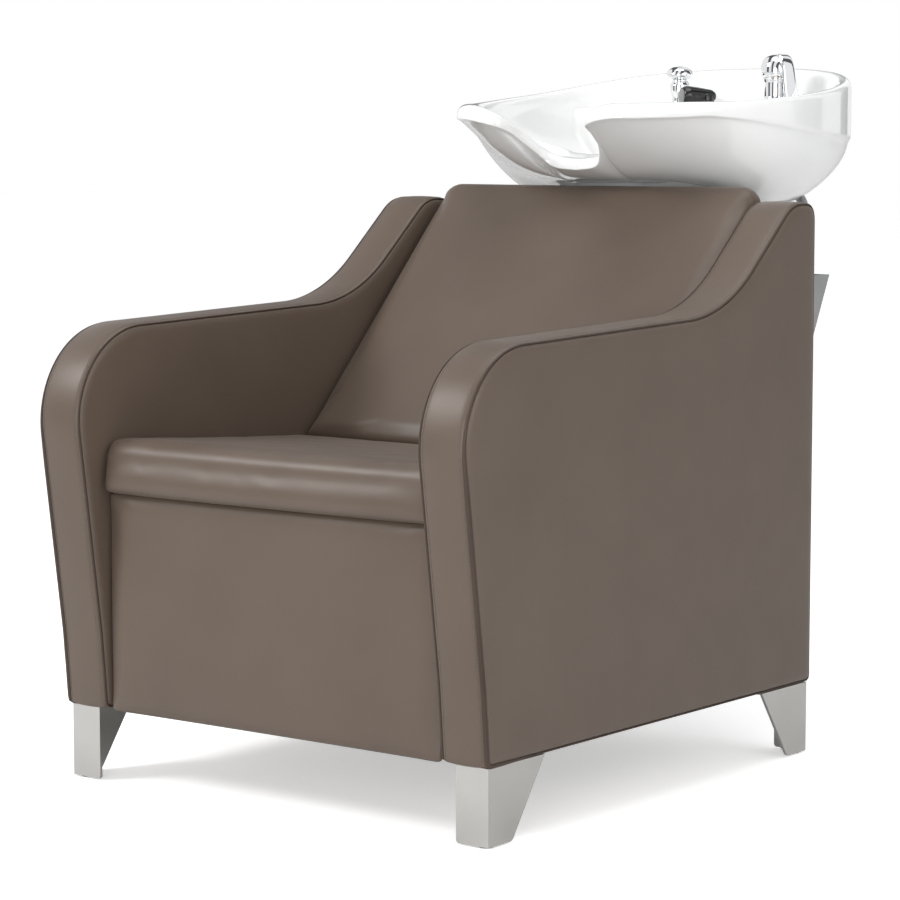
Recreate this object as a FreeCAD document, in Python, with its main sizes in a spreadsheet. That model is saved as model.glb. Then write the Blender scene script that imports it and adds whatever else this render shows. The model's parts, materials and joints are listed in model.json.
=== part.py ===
import FreeCAD, Part
import math
import os
import re

import Sketcher

# Salon shampoo backwash unit: an upholstered chair with a tilting ceramic basin behind its backrest.
# Frame: +Z up, +Y to the rear, +X to the sitter's left, origin on the floor between the four legs.
# Every size is in millimetres, every angle in degrees.
SIZES = {
    # chair
    "width": 680, "depth": 720, "leg_height": 95, "arm_width": 73, "panel": 12, "seam": 5,
    "arm_front_height": 580, "arm_height": 598, "arm_rear_height": 735, "arm_bulge": 61,
    "arm_knee_height": 190, "arm_knee_bulge": 8, "ramp_foot": 503, "ramp_head": 663, "ramp_angle": 40.6,
    "front_lean": 7.7, "arm_nose": 120, "ramp_foot_round": 240, "ramp_head_round": 60,
    "arm_rear_round": 22, "core_border": 70,
    "batten": 28, "board": 12, "gap": 5, "panel_gap": 1,
    "seat_front_height": 441, "seat_rear_height": 416, "seat_under": 371, "seat_depth": 374,
    "seat_overhang": 15, "seat_nose": 28, "front_recess": 2,
    "back_foot": 380, "back_foot_height": 424, "back_head": 706, "back_head_height": 752,
    "back_slab": 96, "back_roll": 14, "rear_inset": 3,
    # legs
    "leg_face": 47, "leg_spread": 112, "leg_sheet": 4, "leg_inset": 6, "leg_round": 9,
    "glide_height": 2, "anchor_inset": 13, "anchor_bore": 4.5, "glide_bore": 6.5, "glide_rim": 9,
    "screw_shank": 3.5, "screw_head": 7, "screw_head_height": 3, "screw_length": 34,
    "first_screw": 16, "screw_row": 78, "flange_length_past_row": 22, "foot_gusset": 42,
    # welded steel frame and basin bracket
    "tube": 30, "frame_width": 508, "frame_lift": 5, "frame_front": 48, "frame_rear": 700,
    "upright_span": 200, "bracket_y": 325, "bracket_height": 590, "boom_span": 50, "boom_reach": 468,
    "tube_round": 6, "hose_gate": 21, "bolt_shank": 4, "bolt_head": 7.5, "bolt_head_height": 5,
    "bolt_reach": 66, "front_bolt": 110, "middle_bolt": 60, "rear_bolt": 160,
    # tilting mount under the basin
    "pivot_y": 440, "pivot_height": 640, "pin_radius": 8, "running_gap": 0.05, "pin_head": 5,
    "pin_length": 163, "cheek": 5, "cheek_span": 66, "cheek_half": 28, "cheek_round": 24,
    "ear_span": 54, "ear_half": 22, "ear_drop": 20, "ear_round": 12, "bush_wall": 6, "washer": 2,
    "washer_wall": 9, "knob_radius": 24, "knob_bevel": 4, "knob_length": 22,
    "cradle_height": 676, "cradle_sheet": 6, "cradle_half_width": 96, "cradle_front": 408,
    "cradle_rear": 552, "cradle_round": 20, "drain_room": 14, "hose_room": 10,
    "pad_radius": 14, "pad_reach": 50,
    # ceramic basin: the dish is an oblong vessel, the bowl a round one let into its floor
    "basin_y": 475, "basin_half_width": 250, "basin_half_length": 276, "basin_top": 926, "wall": 16,
    "basin_margin": 9,
    "dish_floor": 757, "dish_foot": 76, "dish_knee": 28, "dish_knee_rise": 43, "dish_side": 9,
    "dish_side_rise": 88, "inner_floor": 778, "inner_foot": 96, "inner_knee": 50, "inner_knee_rise": 26,
    "inner_side": 26, "inner_side_rise": 72, "bowl_y": 498, "bowl_floor": 690, "bowl_foot": 78,
    "bowl_knee": 106, "bowl_knee_rise": 30, "bowl_mouth": 124, "bowl_lap": 6, "inner_bowl_foot": 60,
    "inner_bowl_knee": 90, "inner_bowl_knee_rise": 44, "inner_bowl_mouth": 106, "inner_bowl_lap": 4,
    "deck_front": 598, "deck_height": 862, "deck_thickness": 16, "access_half_width": 116,
    "access_depth": 51, "access_rise": 37, "rim_front_height": 857, "rim_bend": 506,
    "rim_bend_height": 870, "rim_rear_height": 917, "notch_half_width": 92, "notch_reach": 130,
    "notch_foot_share": 0.42, "notch_side_share": 0.86, "notch_side_rise": 51, "notch_foot_round": 38,
    "notch_side_round": 40, "drain_y": 480, "drain_bore": 24,
    # taps: their shanks pass through the deck, heights are counted from the deck
    "shank_bore": 12, "shank_radius": 11, "tap_gasket": 1.5, "gasket_radius": 19, "tap_nut": 18,
    "tap_nut_height": 8, "mixer_x": 95, "mixer_y": 652, "mixer_shank": 48, "mixer_foot": 24,
    "mixer_foot_height": 6, "mixer_column": 18, "mixer_column_foot": 10, "mixer_flare": 8,
    "mixer_radius": 21, "mixer_height": 44, "cartridge_bore": 9, "cartridge_depth": 20,
    "stem_radius": 5, "stem_height": 8, "dome_height": 30, "dome_round": 16, "dome_gap": 0.2,
    "slot_half_width": 5.2, "slot_depth": 9, "slot_foot": 8, "slot_head": 20, "lever_y": 18,
    "lever_height": 14, "lever_pin": 2, "lever_half_width": 5, "lever_root": 4, "lever_neck": 4.5,
    "lever_knee": 10, "lever_length": 17, "lever_thickness": 7, "lever_droop": 50, "lever_round": 3,
    "lever_way": 70,
    "breaker_x": -75, "breaker_y": 658, "breaker_shank": 42, "breaker_foot": 18,
    "breaker_foot_height": 5, "breaker_neck": 12, "breaker_neck_foot": 9, "breaker_neck_head": 20,
    "breaker_bulb": 15, "breaker_bulb_foot": 28, "breaker_height": 42, "air_passage": 4,
    "float_room": 9, "float_seat": 24, "float_gap": 0.1, "float_disc": 6, "float_stem": 3,
    "float_height": 13, "cap_radius": 19.5, "cap_lip": 4, "cap_lip_height": 3, "cap_shoulder": 16,
    "cap_height": 18,
    "spray_x": -15, "spray_y": 634, "holder_bore": 9.5, "holder_shank": 11.8, "holder_shank_length": 24,
    "holder_rim": 17, "holder_rim_height": 2, "holder_ring": 14, "holder_height": 4,
    "grip_radius": 9, "grip_foot": 16, "grip_taper": 10, "grip_shoulder": 13, "grip_height": 17,
    "grip_shoulder_height": 12, "spray_hose_radius": 6, "spray_hose_end": 120, "head_way": 35,
    "head_back": 8, "head_waist": 10, "head_radius": 13, "head_face": 36, "head_cone": 24,
    "face_radius": 11, "face_thickness": 3,
    # drain, counted from the bowl's inner floor or its underside
    "flange_bore": 20, "flange_radius": 23, "flange_length": 54, "flange_rim": 34, "flange_rise": 4,
    "strainer_radius": 24, "strainer_cup": 19.5, "strainer_wall": 2, "strainer_depth": 8,
    "strainer_seat": 2.6, "slot_radius": 2.2, "slot_ring_inner": 7, "slot_ring_outer": 14,
    "gasket_thickness": 3, "gasket_rim": 31, "drain_nut_height": 9, "tail_bore": 17, "tail_radius": 19.9,
    "tail_length": 46, "tail_drop": 66,
    # hoses
    "hose_radius": 7, "hose_bend": 40, "hot_start": 81, "cold_start": 97, "hot_x": 108, "cold_x": 142,
    "hose_turn_height": 755, "hose_under_y": 620, "hose_under_height": 712, "hose_exit_y": 480,
    "hose_exit_height": 640, "hose_foot_height": 330, "waste_radius": 18, "cuff_length": 40,
    "cuff_rim": 1, "waste_bend": 30, "waste_turn_height": 612, "waste_foot_height": 350,
    "outlet_y": 288, "outlet_height": 70, "nut_radius": 15, "nut_height": 20, "thread_radius": 9.5,
    "thread_length": 14,
    # rear cover
    "cover_half_width": 268, "cover_reach": 150, "cover_foot": 330, "cover_head": 632, "cover_wall": 3,
    "cover_depth": 20,
    # how far a cutting tool runs past the surface that it opens
    "spare": 1,
}

doc = FreeCAD.newDocument("ShampooBackwashUnit")
sheet = doc.addObject("Spreadsheet::Sheet", "Sizes")
for row, (word, value) in enumerate(SIZES.items(), start=1):
    sheet.set(f"A{row}", word)
    sheet.set(f"B{row}", str(value))
    sheet.setAlias(f"B{row}", word)
doc.recompute()

LEFT, RIGHT = 1, -1     # the sitter's left is +X
PIECES = []             # the finished pieces, one node each

# Places that several pieces share, as formulas on the sheet.
SCREW_ROWS = ("depth/2 - leg_inset - leg_sheet - first_screw",
              "depth/2 - leg_inset - leg_sheet - screw_row")
LEG_ROW_X = "(width/2 - leg_inset - leg_face/2)"
FRAME_BOLT_ROWS = ("-depth/2 + front_bolt", "middle_bolt", "depth/2 - rear_bolt")
FRAME_BOLT_Z = "leg_height + frame_lift + tube/2"
SEAT_HALF_WIDTH = "(width/2 - arm_width - gap)"
FRONT, REAR = "-depth/2", "depth/2"


# ---------------------------------------------------------------- helpers

def bound(text):
    """Turn a formula written with the names in SIZES into an expression on the sheet."""
    return re.sub(r"[a-z_]+", lambda word: "Sizes." + word[0] if word[0] in SIZES else word[0], str(text))


def keep(piece, label):
    """Name a finished piece, which names its file too."""
    piece.Label = label
    PIECES.append(piece)
    return piece


def put(piece, x=0, y=0, z=0, axis=(0, 0, 1), angle=0):
    """Turn a piece about an axis through its own origin, then move that origin to x, y, z."""
    turn = FreeCAD.Rotation(FreeCAD.Vector(*axis), angle)
    piece.Placement = FreeCAD.Placement(FreeCAD.Vector(), turn)
    for name, formula in zip("xyz", (x, y, z)):
        piece.setExpression(f"Placement.Base.{name}", bound(formula))
    return piece


def rectangle(low_x, low_y, high_x, high_y):
    return [(low_x, low_y), (high_x, low_y), (high_x, high_y), (low_x, high_y)]


def draw_polygon(sketch, points):
    """A closed outline whose corners are each dimensioned from the sketch's origin."""
    first = len(sketch.Geometry)
    count = len(points)
    start = Part.Circle(FreeCAD.Vector(), FreeCAD.Vector(0, 0, 1), 100)
    spots = [start.value(2 * math.pi * index / count) for index in range(count)]
    for index in range(count):
        sketch.addGeometry(Part.LineSegment(spots[index], spots[(index + 1) % count]))
    for index in range(count):
        following = first + (index + 1) % count
        sketch.addConstraint(Sketcher.Constraint("Coincident", first + index, 2, following, 1))
    for index, (across, along) in enumerate(points):
        for kind, formula, start_value in (("DistanceX", across, spots[index].x),
                                           ("DistanceY", along, spots[index].y)):
            rule = sketch.addConstraint(Sketcher.Constraint(kind, -1, 1, first + index, 1, start_value))
            sketch.setExpression(f"Constraints[{rule}]", bound(formula))


def draw_circle(sketch, across, along, radius):
    circle = Part.Circle(FreeCAD.Vector(10, 10, 0), FreeCAD.Vector(0, 0, 1), 5)
    item = sketch.addGeometry(circle)
    for kind, formula in (("DistanceX", across), ("DistanceY", along)):
        rule = sketch.addConstraint(Sketcher.Constraint(kind, -1, 1, item, 3, 10))
        sketch.setExpression(f"Constraints[{rule}]", bound(formula))
    rule = sketch.addConstraint(Sketcher.Constraint("Radius", item, 5))
    sketch.setExpression(f"Constraints[{rule}]", bound(radius))


def new_sketch(body, plane, shapes, offset=0):
    """A sketch on one of the body's origin planes: a list is a polygon, a tuple is x, y, radius."""
    sketch = body.newObject("Sketcher::SketchObject", body.Name + "_sketch")
    support = [item for item in body.Origin.OriginFeatures if item.Role == plane][0]
    sketch.AttachmentSupport = [(support, "")]
    sketch.MapMode = "FlatFace"
    sketch.setExpression("AttachmentOffset.Base.z", bound(offset))
    for shape in shapes:
        if isinstance(shape, list):
            draw_polygon(sketch, shape)
        else:
            draw_circle(sketch, *shape)
    return sketch


def new_body(name):
    return doc.addObject("PartDesign::Body", name)


def pad(body, plane, shapes, start, end):
    """Add material between two heights on the plane's axis: x for YZ, y for XZ, z for XY."""
    offset = f"-({end})" if plane == "XZ_Plane" else start
    sketch = new_sketch(body, plane, shapes, offset)
    feature = body.newObject("PartDesign::Pad", body.Name + "_pad")
    feature.Profile = sketch
    feature.setExpression("Length", bound(f"({end}) - ({start})"))
    body.Tip = feature
    doc.recompute()
    return sketch


def pocket(body, plane, shapes, start, end):
    """Take material away between two heights on the plane's axis, and check that it went."""
    before = body.Tip.Shape.Volume
    offset = f"-({start})" if plane == "XZ_Plane" else end
    sketch = new_sketch(body, plane, shapes, offset)
    feature = body.newObject("PartDesign::Pocket", body.Name + "_pocket")
    feature.Profile = sketch
    feature.setExpression("Length", bound(f"({end}) - ({start})"))
    body.Tip = feature
    doc.recompute()
    if feature.Shape.Volume >= before:
        raise RuntimeError(f"{body.Name}: a pocket took nothing away")
    return sketch


def block(name, plane, shapes, start, end):
    body = new_body(name)
    pad(body, plane, shapes, start, end)
    return body


def lathe(name, profile):
    """A turned piece about its own Z axis; the profile is radius, height."""
    body = new_body(name)
    sketch = new_sketch(body, "XZ_Plane", [profile])
    feature = body.newObject("PartDesign::Revolution", name + "_turning")
    feature.Profile = sketch
    feature.ReferenceAxis = (sketch, ["V_Axis"])
    feature.Angle = 360
    body.Tip = feature
    doc.recompute()
    return body


def add_fillet(body, edges, radius):
    base = body.Tip
    feature = body.newObject("PartDesign::Fillet", body.Name + "_fillet")
    feature.Base = (base, edges)
    feature.setExpression("Radius", bound(radius))
    body.Tip = feature
    doc.recompute()


def round_corners(body, sketch, corners):
    """Round the padded edges that stand on the sketch's corners: corner number to radius."""
    normal = sketch.Placement.Rotation.multVec(FreeCAD.Vector(0, 0, 1))
    for corner, radius in corners.items():
        spot = sketch.Placement.multVec(sketch.Geometry[corner].StartPoint)
        edges = []
        for number, edge in enumerate(body.Tip.Shape.Edges, start=1):
            reach = edge.Vertexes[0].Point - spot
            along = edge.Vertexes[-1].Point - edge.Vertexes[0].Point
            if along.cross(normal).Length < 0.001 and reach.cross(normal).Length < 0.001:
                edges.append(f"Edge{number}")
        add_fillet(body, edges, radius)


def round_face(body, direction, radius):
    """Round every edge of the flat face that looks furthest in a direction."""
    way = FreeCAD.Vector(*direction)
    flat = [face for face in body.Tip.Shape.Faces if face.normalAt(0, 0).dot(way) > 0.999]
    face = max(flat, key=lambda item: item.CenterOfMass.dot(way))
    edges = [f"Edge{number}" for number, edge in enumerate(body.Tip.Shape.Edges, start=1)
             if any(edge.isSame(other) for other in face.Edges)]
    add_fillet(body, edges, radius)


def group(label, members):
    """Identical fasteners or pads: separate solids in one node."""
    bundle = doc.addObject("Part::Compound", label)
    bundle.Links = members
    return keep(bundle, label)


def joined(name, kind, *members):
    """A Part boolean of the members: Part::Cut, Part::Fuse or Part::Common."""
    result = members[0]
    for member in members[1:]:
        step = doc.addObject(kind, name + "_step")
        step.Base = result
        step.Tool = member
        result = step
    return result


def box(name, low, high):
    solid = doc.addObject("Part::Box", name)
    for side, first, last in zip(("Length", "Width", "Height"), low, high):
        solid.setExpression(side, bound(f"({last}) - ({first})"))
    return put(solid, *low)


def rod(name, radius, length):
    solid = doc.addObject("Part::Cylinder", name)
    solid.setExpression("Radius", bound(radius))
    solid.setExpression("Height", bound(length))
    return solid


def side_name(side):
    return "left" if side == LEFT else "right"


def ring_profile(bore, radius, low, high):
    """The profile of a plain ring between two heights."""
    return [(bore, low), (radius, low), (radius, high), (bore, high)]


def bolt_profile(head, head_height, shank, length):
    """The profile of a bolt, pin or screw whose head ends at height 0."""
    return [(0, f"-({head_height})"), (head, f"-({head_height})"), (head, 0), (shank, 0), (shank, length),
            (0, length)]


# ---------------------------------------------------------------- arms

def arm_outline(inset):
    """The arm seen from the side, drawn in by an inset everywhere but at the bottom."""
    front = "-depth/2"
    nose = f"({inset}) * tan(45 + front_lean/2)"
    ramp = f"({inset}) * tan(ramp_angle/2)"
    return [
        (f"{front} + ({inset})", "leg_height"),
        (f"{front} - arm_knee_bulge + ({inset})", "arm_knee_height"),
        (f"{front} - arm_bulge + {nose}", f"arm_front_height - ({inset})"),
        (f"{front} + ramp_foot + {ramp}", f"arm_height - ({inset})"),
        (f"{front} + ramp_head + {ramp}", f"arm_rear_height - ({inset})"),
        (f"depth/2 - ({inset})", f"arm_rear_height - ({inset})"),
        (f"depth/2 - ({inset})", "leg_height"),
    ]


def arm_rounds(inset):
    return {2: f"arm_nose - ({inset})", 3: f"ramp_foot_round + ({inset})",
            4: f"ramp_head_round - ({inset})", 5: f"arm_rear_round - ({inset})"}


def side_span(side, inner, outer):
    """Lowest and highest x between two distances from the middle, on one side of the chair."""
    return (inner, outer) if side == LEFT else (f"-({outer})", f"-({inner})")


def arm_slab(name, side, inset, inner, outer):
    start, end = side_span(side, inner, outer)
    body = new_body(name)
    sketch = pad(body, "YZ_Plane", [arm_outline(inset)], start, end)
    round_corners(body, sketch, arm_rounds(inset))
    return body


def make_arm(side):
    word = side_name(side)
    outer_face = "width/2"
    inner_face = "width/2 - arm_width"
    core_in, core_out = f"{inner_face} + panel", f"{outer_face} - panel"
    start, end = side_span(side, core_in, core_out)

    core = arm_slab("arm_core_" + word, side, "panel", core_in, core_out)
    window = [("-depth/2 + core_border", "leg_height + core_border"),
              ("depth/2 - core_border", "leg_height + core_border"),
              ("depth/2 - core_border", "arm_height - core_border"),
              ("-depth/2 + core_border", "arm_front_height - core_border")]
    pocket(core, "YZ_Plane", [window], start, end)
    pilot = [(f"{side} * {LEG_ROW_X}", f"{way} * ({row})", "screw_shank")
             for way in (-1, 1) for row in SCREW_ROWS]
    pocket(core, "XY_Plane", pilot, "leg_height", "leg_height + screw_length - leg_sheet")
    frame_holes = [(row, FRAME_BOLT_Z, "bolt_shank") for row in FRAME_BOLT_ROWS]
    hole_start, hole_end = side_span(side, core_in, f"{core_in} + panel + gap")
    pocket(core, "YZ_Plane", frame_holes, hole_start, hole_end)
    keep(core, "arm_core_" + word)

    band = arm_slab("arm_band_blank_" + word, side, "0", core_in, core_out)
    inside = arm_slab("arm_band_inside_" + word, side, "panel", core_in, core_out)
    keep(joined("arm_band_cut_" + word, "Part::Cut", band, inside), "arm_band_" + word)

    outer = arm_slab("arm_outer_panel_" + word, side, "seam", core_out, outer_face)
    round_face(outer, (side, 0, 0), "seam")
    keep(outer, "arm_outer_panel_" + word)

    inner = arm_slab("arm_inner_panel_" + word, side, "seam", inner_face, core_in)
    round_face(inner, (-side, 0, 0), "seam")
    inner_start, inner_end = side_span(side, inner_face, core_in)
    pocket(inner, "YZ_Plane", frame_holes, inner_start, inner_end)
    keep(inner, "arm_inner_panel_" + word)


# ---------------------------------------------------------------- legs

def corner_points(side, way, points):
    """Points given as distances inwards from a leg's outer corner, at one corner of the chair."""
    return [(f"{side} * (width/2 - leg_inset - ({across}))", f"{way} * (depth/2 - leg_inset - ({along}))")
            for across, along in points]


def make_leg(side, way, name):
    """A leg folded from sheet: end plate, tapered side plate, top flange and floor gusset."""
    body = new_body(name)
    edge_x = f"{side} * (width/2 - leg_inset)"
    inner_x = f"{side} * (width/2 - leg_inset - leg_sheet)"
    edge_y = f"{way} * (depth/2 - leg_inset)"
    inner_y = f"{way} * (depth/2 - leg_inset - leg_sheet)"
    side_plate = [(edge_y, "glide_height"), (f"{way} * (depth/2 - leg_inset - leg_face)", "glide_height"),
                  (f"{way} * (depth/2 - leg_inset - leg_spread)", "leg_height"), (edge_y, "leg_height")]
    low, high = (inner_x, edge_x) if side == LEFT else (edge_x, inner_x)
    sketch = pad(body, "YZ_Plane", [side_plate], low, high)
    round_corners(body, sketch, {1: "leg_round"})
    end_plate = [(edge_x, "glide_height"), (f"{side} * (width/2 - leg_inset - leg_face)", "glide_height"),
                 (f"{side} * (width/2 - leg_inset - leg_face)", "leg_height"), (edge_x, "leg_height")]
    low, high = (inner_y, edge_y) if way == 1 else (edge_y, inner_y)
    sketch = pad(body, "XZ_Plane", [end_plate], low, high)
    round_corners(body, sketch, {1: "leg_sheet"})
    flange = corner_points(side, way, rectangle("0", "0", "leg_face",
                                                 "screw_row + flange_length_past_row"))
    pad(body, "XY_Plane", [flange], "leg_height - leg_sheet", "leg_height")
    gusset = corner_points(side, way, [("0", "0"), ("foot_gusset", "0"), ("0", "foot_gusset")])
    pad(body, "XY_Plane", [gusset], "glide_height", "glide_height + leg_sheet")
    anchor = corner_points(side, way, [("anchor_inset", "anchor_inset")])[0]
    pocket(body, "XY_Plane", [(*anchor, "anchor_bore")], "glide_height", "glide_height + leg_sheet")
    holes = [(f"{side} * {LEG_ROW_X}", f"{way} * ({row})", "screw_shank") for row in SCREW_ROWS]
    pocket(body, "XY_Plane", holes, "leg_height - leg_sheet", "leg_height")
    return keep(body, name)


def make_glide(side, way):
    anchor = corner_points(side, way, [("anchor_inset", "anchor_inset")])[0]
    return block("glide", "XY_Plane", [(*anchor, "glide_rim"), (*anchor, "glide_bore")],
                 "0", "glide_height")


def make_leg_screw(side, way, row):
    profile = bolt_profile("screw_head", "screw_head_height", "screw_shank", "screw_length")
    screw = lathe("leg_screw", profile)
    return put(screw, f"{side} * {LEG_ROW_X}", f"{way} * ({row})", "leg_height - leg_sheet")


def make_legs():
    corners = [(side, way) for way in (-1, 1) for side in (LEFT, RIGHT)]
    for side, way in corners:
        end = "front" if way == -1 else "rear"
        make_leg(side, way, f"leg_{end}_{side_name(side)}")
    group("leg_glides", [make_glide(side, way) for side, way in corners])
    group("leg_screws", [make_leg_screw(side, way, row) for side, way in corners for row in SCREW_ROWS])


# ---------------------------------------------------------------- frame and boards

def make_frame_bolt(side, row):
    bolt = lathe("frame_bolt", bolt_profile("bolt_head", "bolt_head_height", "bolt_shank", "bolt_reach"))
    return put(bolt, f"{side} * (frame_width/2 - tube)", row, FRAME_BOLT_Z, (0, 1, 0), 90 * side)


def make_base_frame():
    """Welded tube ladder between the arms, with a cross rail under the basin bracket."""
    body = new_body("base_frame")
    half = "frame_width/2"
    front, rear = f"{FRONT} + frame_front", f"{FRONT} + frame_rear"
    low, high = "leg_height + frame_lift", "leg_height + frame_lift + tube"
    sketch = pad(body, "XY_Plane", [rectangle(f"-{half}", front, half, rear)], low, high)
    round_corners(body, sketch, {corner: "tube_round" for corner in range(4)})
    front_field = rectangle(f"-{half} + tube", f"{front} + tube", f"{half} - tube", "-tube/2")
    rear_field = rectangle(f"-{half} + tube", "tube/2", f"{half} - tube", "outlet_y - 2*tube")
    hose_field = rectangle("-upright_span + hose_gate", "outlet_y - tube", "upright_span - hose_gate",
                           f"{rear} - tube")
    pocket(body, "XY_Plane", [front_field, rear_field, hose_field], low, high)
    for side in (LEFT, RIGHT):
        start, end = side_span(side, f"{half} - tube", half)
        pocket(body, "YZ_Plane", [(row, FRAME_BOLT_Z, "bolt_shank") for row in FRAME_BOLT_ROWS], start, end)
    keep(body, "base_frame")
    group("frame_bolts", [make_frame_bolt(side, row) for side in (LEFT, RIGHT) for row in FRAME_BOLT_ROWS])


def make_basin_bracket():
    """Two uprights with a cross head and two booms that reach out through the rear panel."""
    body = new_body("basin_bracket")
    foot = "leg_height + frame_lift + tube"
    front, rear = "bracket_y - tube/2", "bracket_y + tube/2"
    head = rectangle("-upright_span - tube/2", "bracket_height - tube", "upright_span + tube/2",
                     "bracket_height")
    pad(body, "XZ_Plane", [head], front, rear)
    uprights = [rectangle(f"{side}*upright_span - tube/2", front, f"{side}*upright_span + tube/2", rear)
                for side in (LEFT, RIGHT)]
    pad(body, "XY_Plane", uprights, foot, "bracket_height")
    booms = [rectangle(f"{side}*boom_span - tube/2", "bracket_y",
                       f"{side}*boom_span + tube/2", "boom_reach") for side in (LEFT, RIGHT)]
    pad(body, "XY_Plane", booms, "bracket_height - tube", "bracket_height")
    keep(body, "basin_bracket")


def make_seat():
    start, end = f"-{SEAT_HALF_WIDTH}", SEAT_HALF_WIDTH
    under_board = "seat_under - board"
    strip_side = rectangle(f"{FRONT} + front_recess + 3*board", f"{under_board} - batten",
                           f"{FRONT} + seat_depth", under_board)
    for side in (LEFT, RIGHT):
        low, high = side_span(side, "width/2 - arm_width - batten", "width/2 - arm_width")
        label = "seat_batten_" + side_name(side)
        keep(block(label, "YZ_Plane", [strip_side], low, high), label)
    board = rectangle(start, f"{FRONT} + front_recess + board", end, f"{FRONT} + back_foot + board")
    keep(block("seat_board", "XY_Plane", [board], under_board, "seat_under"), "seat_board")

    cushion = new_body("seat_cushion")
    profile = [(f"{FRONT} - seat_overhang", "seat_under"),
               (f"{FRONT} - seat_overhang/3", "seat_front_height"),
               (f"{FRONT} + seat_depth", "seat_rear_height"), (f"{FRONT} + seat_depth", "seat_under")]
    sketch = pad(cushion, "YZ_Plane", [profile], start, end)
    round_corners(cushion, sketch, {0: "gap*2", 1: "seat_nose", 2: "gap*2"})
    keep(cushion, "seat_cushion")


def down_the_slope(across, height, drop):
    """The point a distance below another, square to the back's 45 degree slope."""
    return f"{across} + ({drop})/2", f"{height} - ({drop})/2"


def make_back():
    """The leaning back cushion, and the board that carries it."""
    start, end = f"-{SEAT_HALF_WIDTH}", SEAT_HALF_WIDTH
    foot = (f"{FRONT} + back_foot", "back_foot_height")
    head = (f"{FRONT} + back_head", "back_head_height")
    rear = f"{REAR} + rear_inset"
    profile = [foot, head, (rear, "back_head_height - gap"),
               (rear, "back_head_height - back_slab + back_roll"), down_the_slope(*foot, "back_slab")]
    cushion = new_body("back_cushion")
    sketch = pad(cushion, "YZ_Plane", [profile], start, end)
    round_corners(cushion, sketch, {0: "gap*2", 1: "back_roll/2", 2: "back_roll/2"})
    keep(cushion, "back_cushion")

    thick = "board * sqrt(2)"
    short = "(back_slab - back_roll + gap + 2*board)/2"
    board_foot = down_the_slope(*foot, "back_slab + gap")
    board_head = down_the_slope(f"{head[0]} - {short}", f"{head[1]} - {short}", "back_slab + gap")
    board = [board_foot, board_head, (board_head[0], f"{board_head[1]} - {thick}"),
             (board_foot[0], f"{board_foot[1]} - {thick}")]
    keep(block("back_board", "YZ_Plane", [board], start, end), "back_board")


def make_front_and_rear_panels():
    start, end = f"-{SEAT_HALF_WIDTH}", SEAT_HALF_WIDTH
    face = f"{FRONT} + front_recess"
    outline = rectangle(start, "leg_height + panel_gap", end, "seat_under - board - panel_gap")
    padded = new_body("front_panel_pad")
    pad(padded, "XZ_Plane", [outline], face, f"{face} + board")
    round_face(padded, (0, -1, 0), "gap")
    keep(padded, "front_panel_pad")
    board = block("front_panel_board", "XZ_Plane", [outline], f"{face} + board", f"{face} + 2*board")
    keep(board, "front_panel_board")

    rear = new_body("rear_panel")
    top = "back_head_height - back_slab + back_roll - board - gap - panel_gap"
    outline = rectangle(start, "leg_height + panel_gap", end, top)
    pad(rear, "XZ_Plane", [outline], f"{REAR} - board", REAR)
    opening = rectangle("-cold_x - tube/2", "cover_foot + tube/2", "cold_x + tube/2",
                        "bracket_height + tube/2")
    pocket(rear, "XZ_Plane", [opening], f"{REAR} - board", REAR)
    keep(rear, "rear_panel")


# ---------------------------------------------------------------- tilting mount

PIN_HOLE = ("pivot_y", "pivot_height", "pin_radius + running_gap")


def on_the_pivot(piece, x, side=LEFT):
    """Lay a turned piece along the tilt axis, starting at x and pointing to one side."""
    return put(piece, x, "pivot_y", "pivot_height", (0, 1, 0), 90 * side)


def make_yoke():
    """Cross plate on the booms with a cheek at each end, notched for the waste hose."""
    yoke = new_body("tilt_yoke")
    low_y, high_y = "pivot_y - cheek_half", "pivot_y + cheek_half"
    top = "bracket_height + cheek"
    plate = rectangle("-cheek_span - cheek", low_y, "cheek_span + cheek", high_y)
    pad(yoke, "XY_Plane", [plate], "bracket_height", top)
    half = "waste_radius + hose_room"
    notch = rectangle(f"-({half})", "pivot_y - cheek", half, f"{high_y} + spare")
    pocket(yoke, "XY_Plane", [notch], "bracket_height", top)
    cheek = rectangle(low_y, "bracket_height", high_y, "pivot_height + cheek_half")
    for side in (LEFT, RIGHT):
        low, high = side_span(side, "cheek_span", "cheek_span + cheek")
        sketch = pad(yoke, "YZ_Plane", [cheek], low, high)
        round_corners(yoke, sketch, {2: "cheek_round", 3: "cheek_round"})
        pocket(yoke, "YZ_Plane", [PIN_HOLE], low, high)
    keep(yoke, "tilt_yoke")


def make_cradle():
    """Plate under the basin with a hole for the drain and two ears that turn on the pin."""
    cradle = new_body("tilt_cradle")
    low, high = "cradle_height", "cradle_height + cradle_sheet"
    plate = rectangle("-cradle_half_width", "cradle_front", "cradle_half_width", "cradle_rear")
    sketch = pad(cradle, "XY_Plane", [plate], low, high)
    round_corners(cradle, sketch, {corner: "cradle_round" for corner in range(4)})
    pocket(cradle, "XY_Plane", [("0", "drain_y", "drain_bore + drain_room")], low, high)
    ear = rectangle("pivot_y - ear_half", "pivot_height - ear_drop", "pivot_y + ear_half", "cradle_height")
    for side in (LEFT, RIGHT):
        low, high = side_span(side, "ear_span", "ear_span + cheek")
        sketch = pad(cradle, "YZ_Plane", [ear], low, high)
        round_corners(cradle, sketch, {0: "ear_round", 1: "ear_round"})
        pocket(cradle, "YZ_Plane", [PIN_HOLE], low, high)
    keep(cradle, "tilt_cradle")


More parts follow.
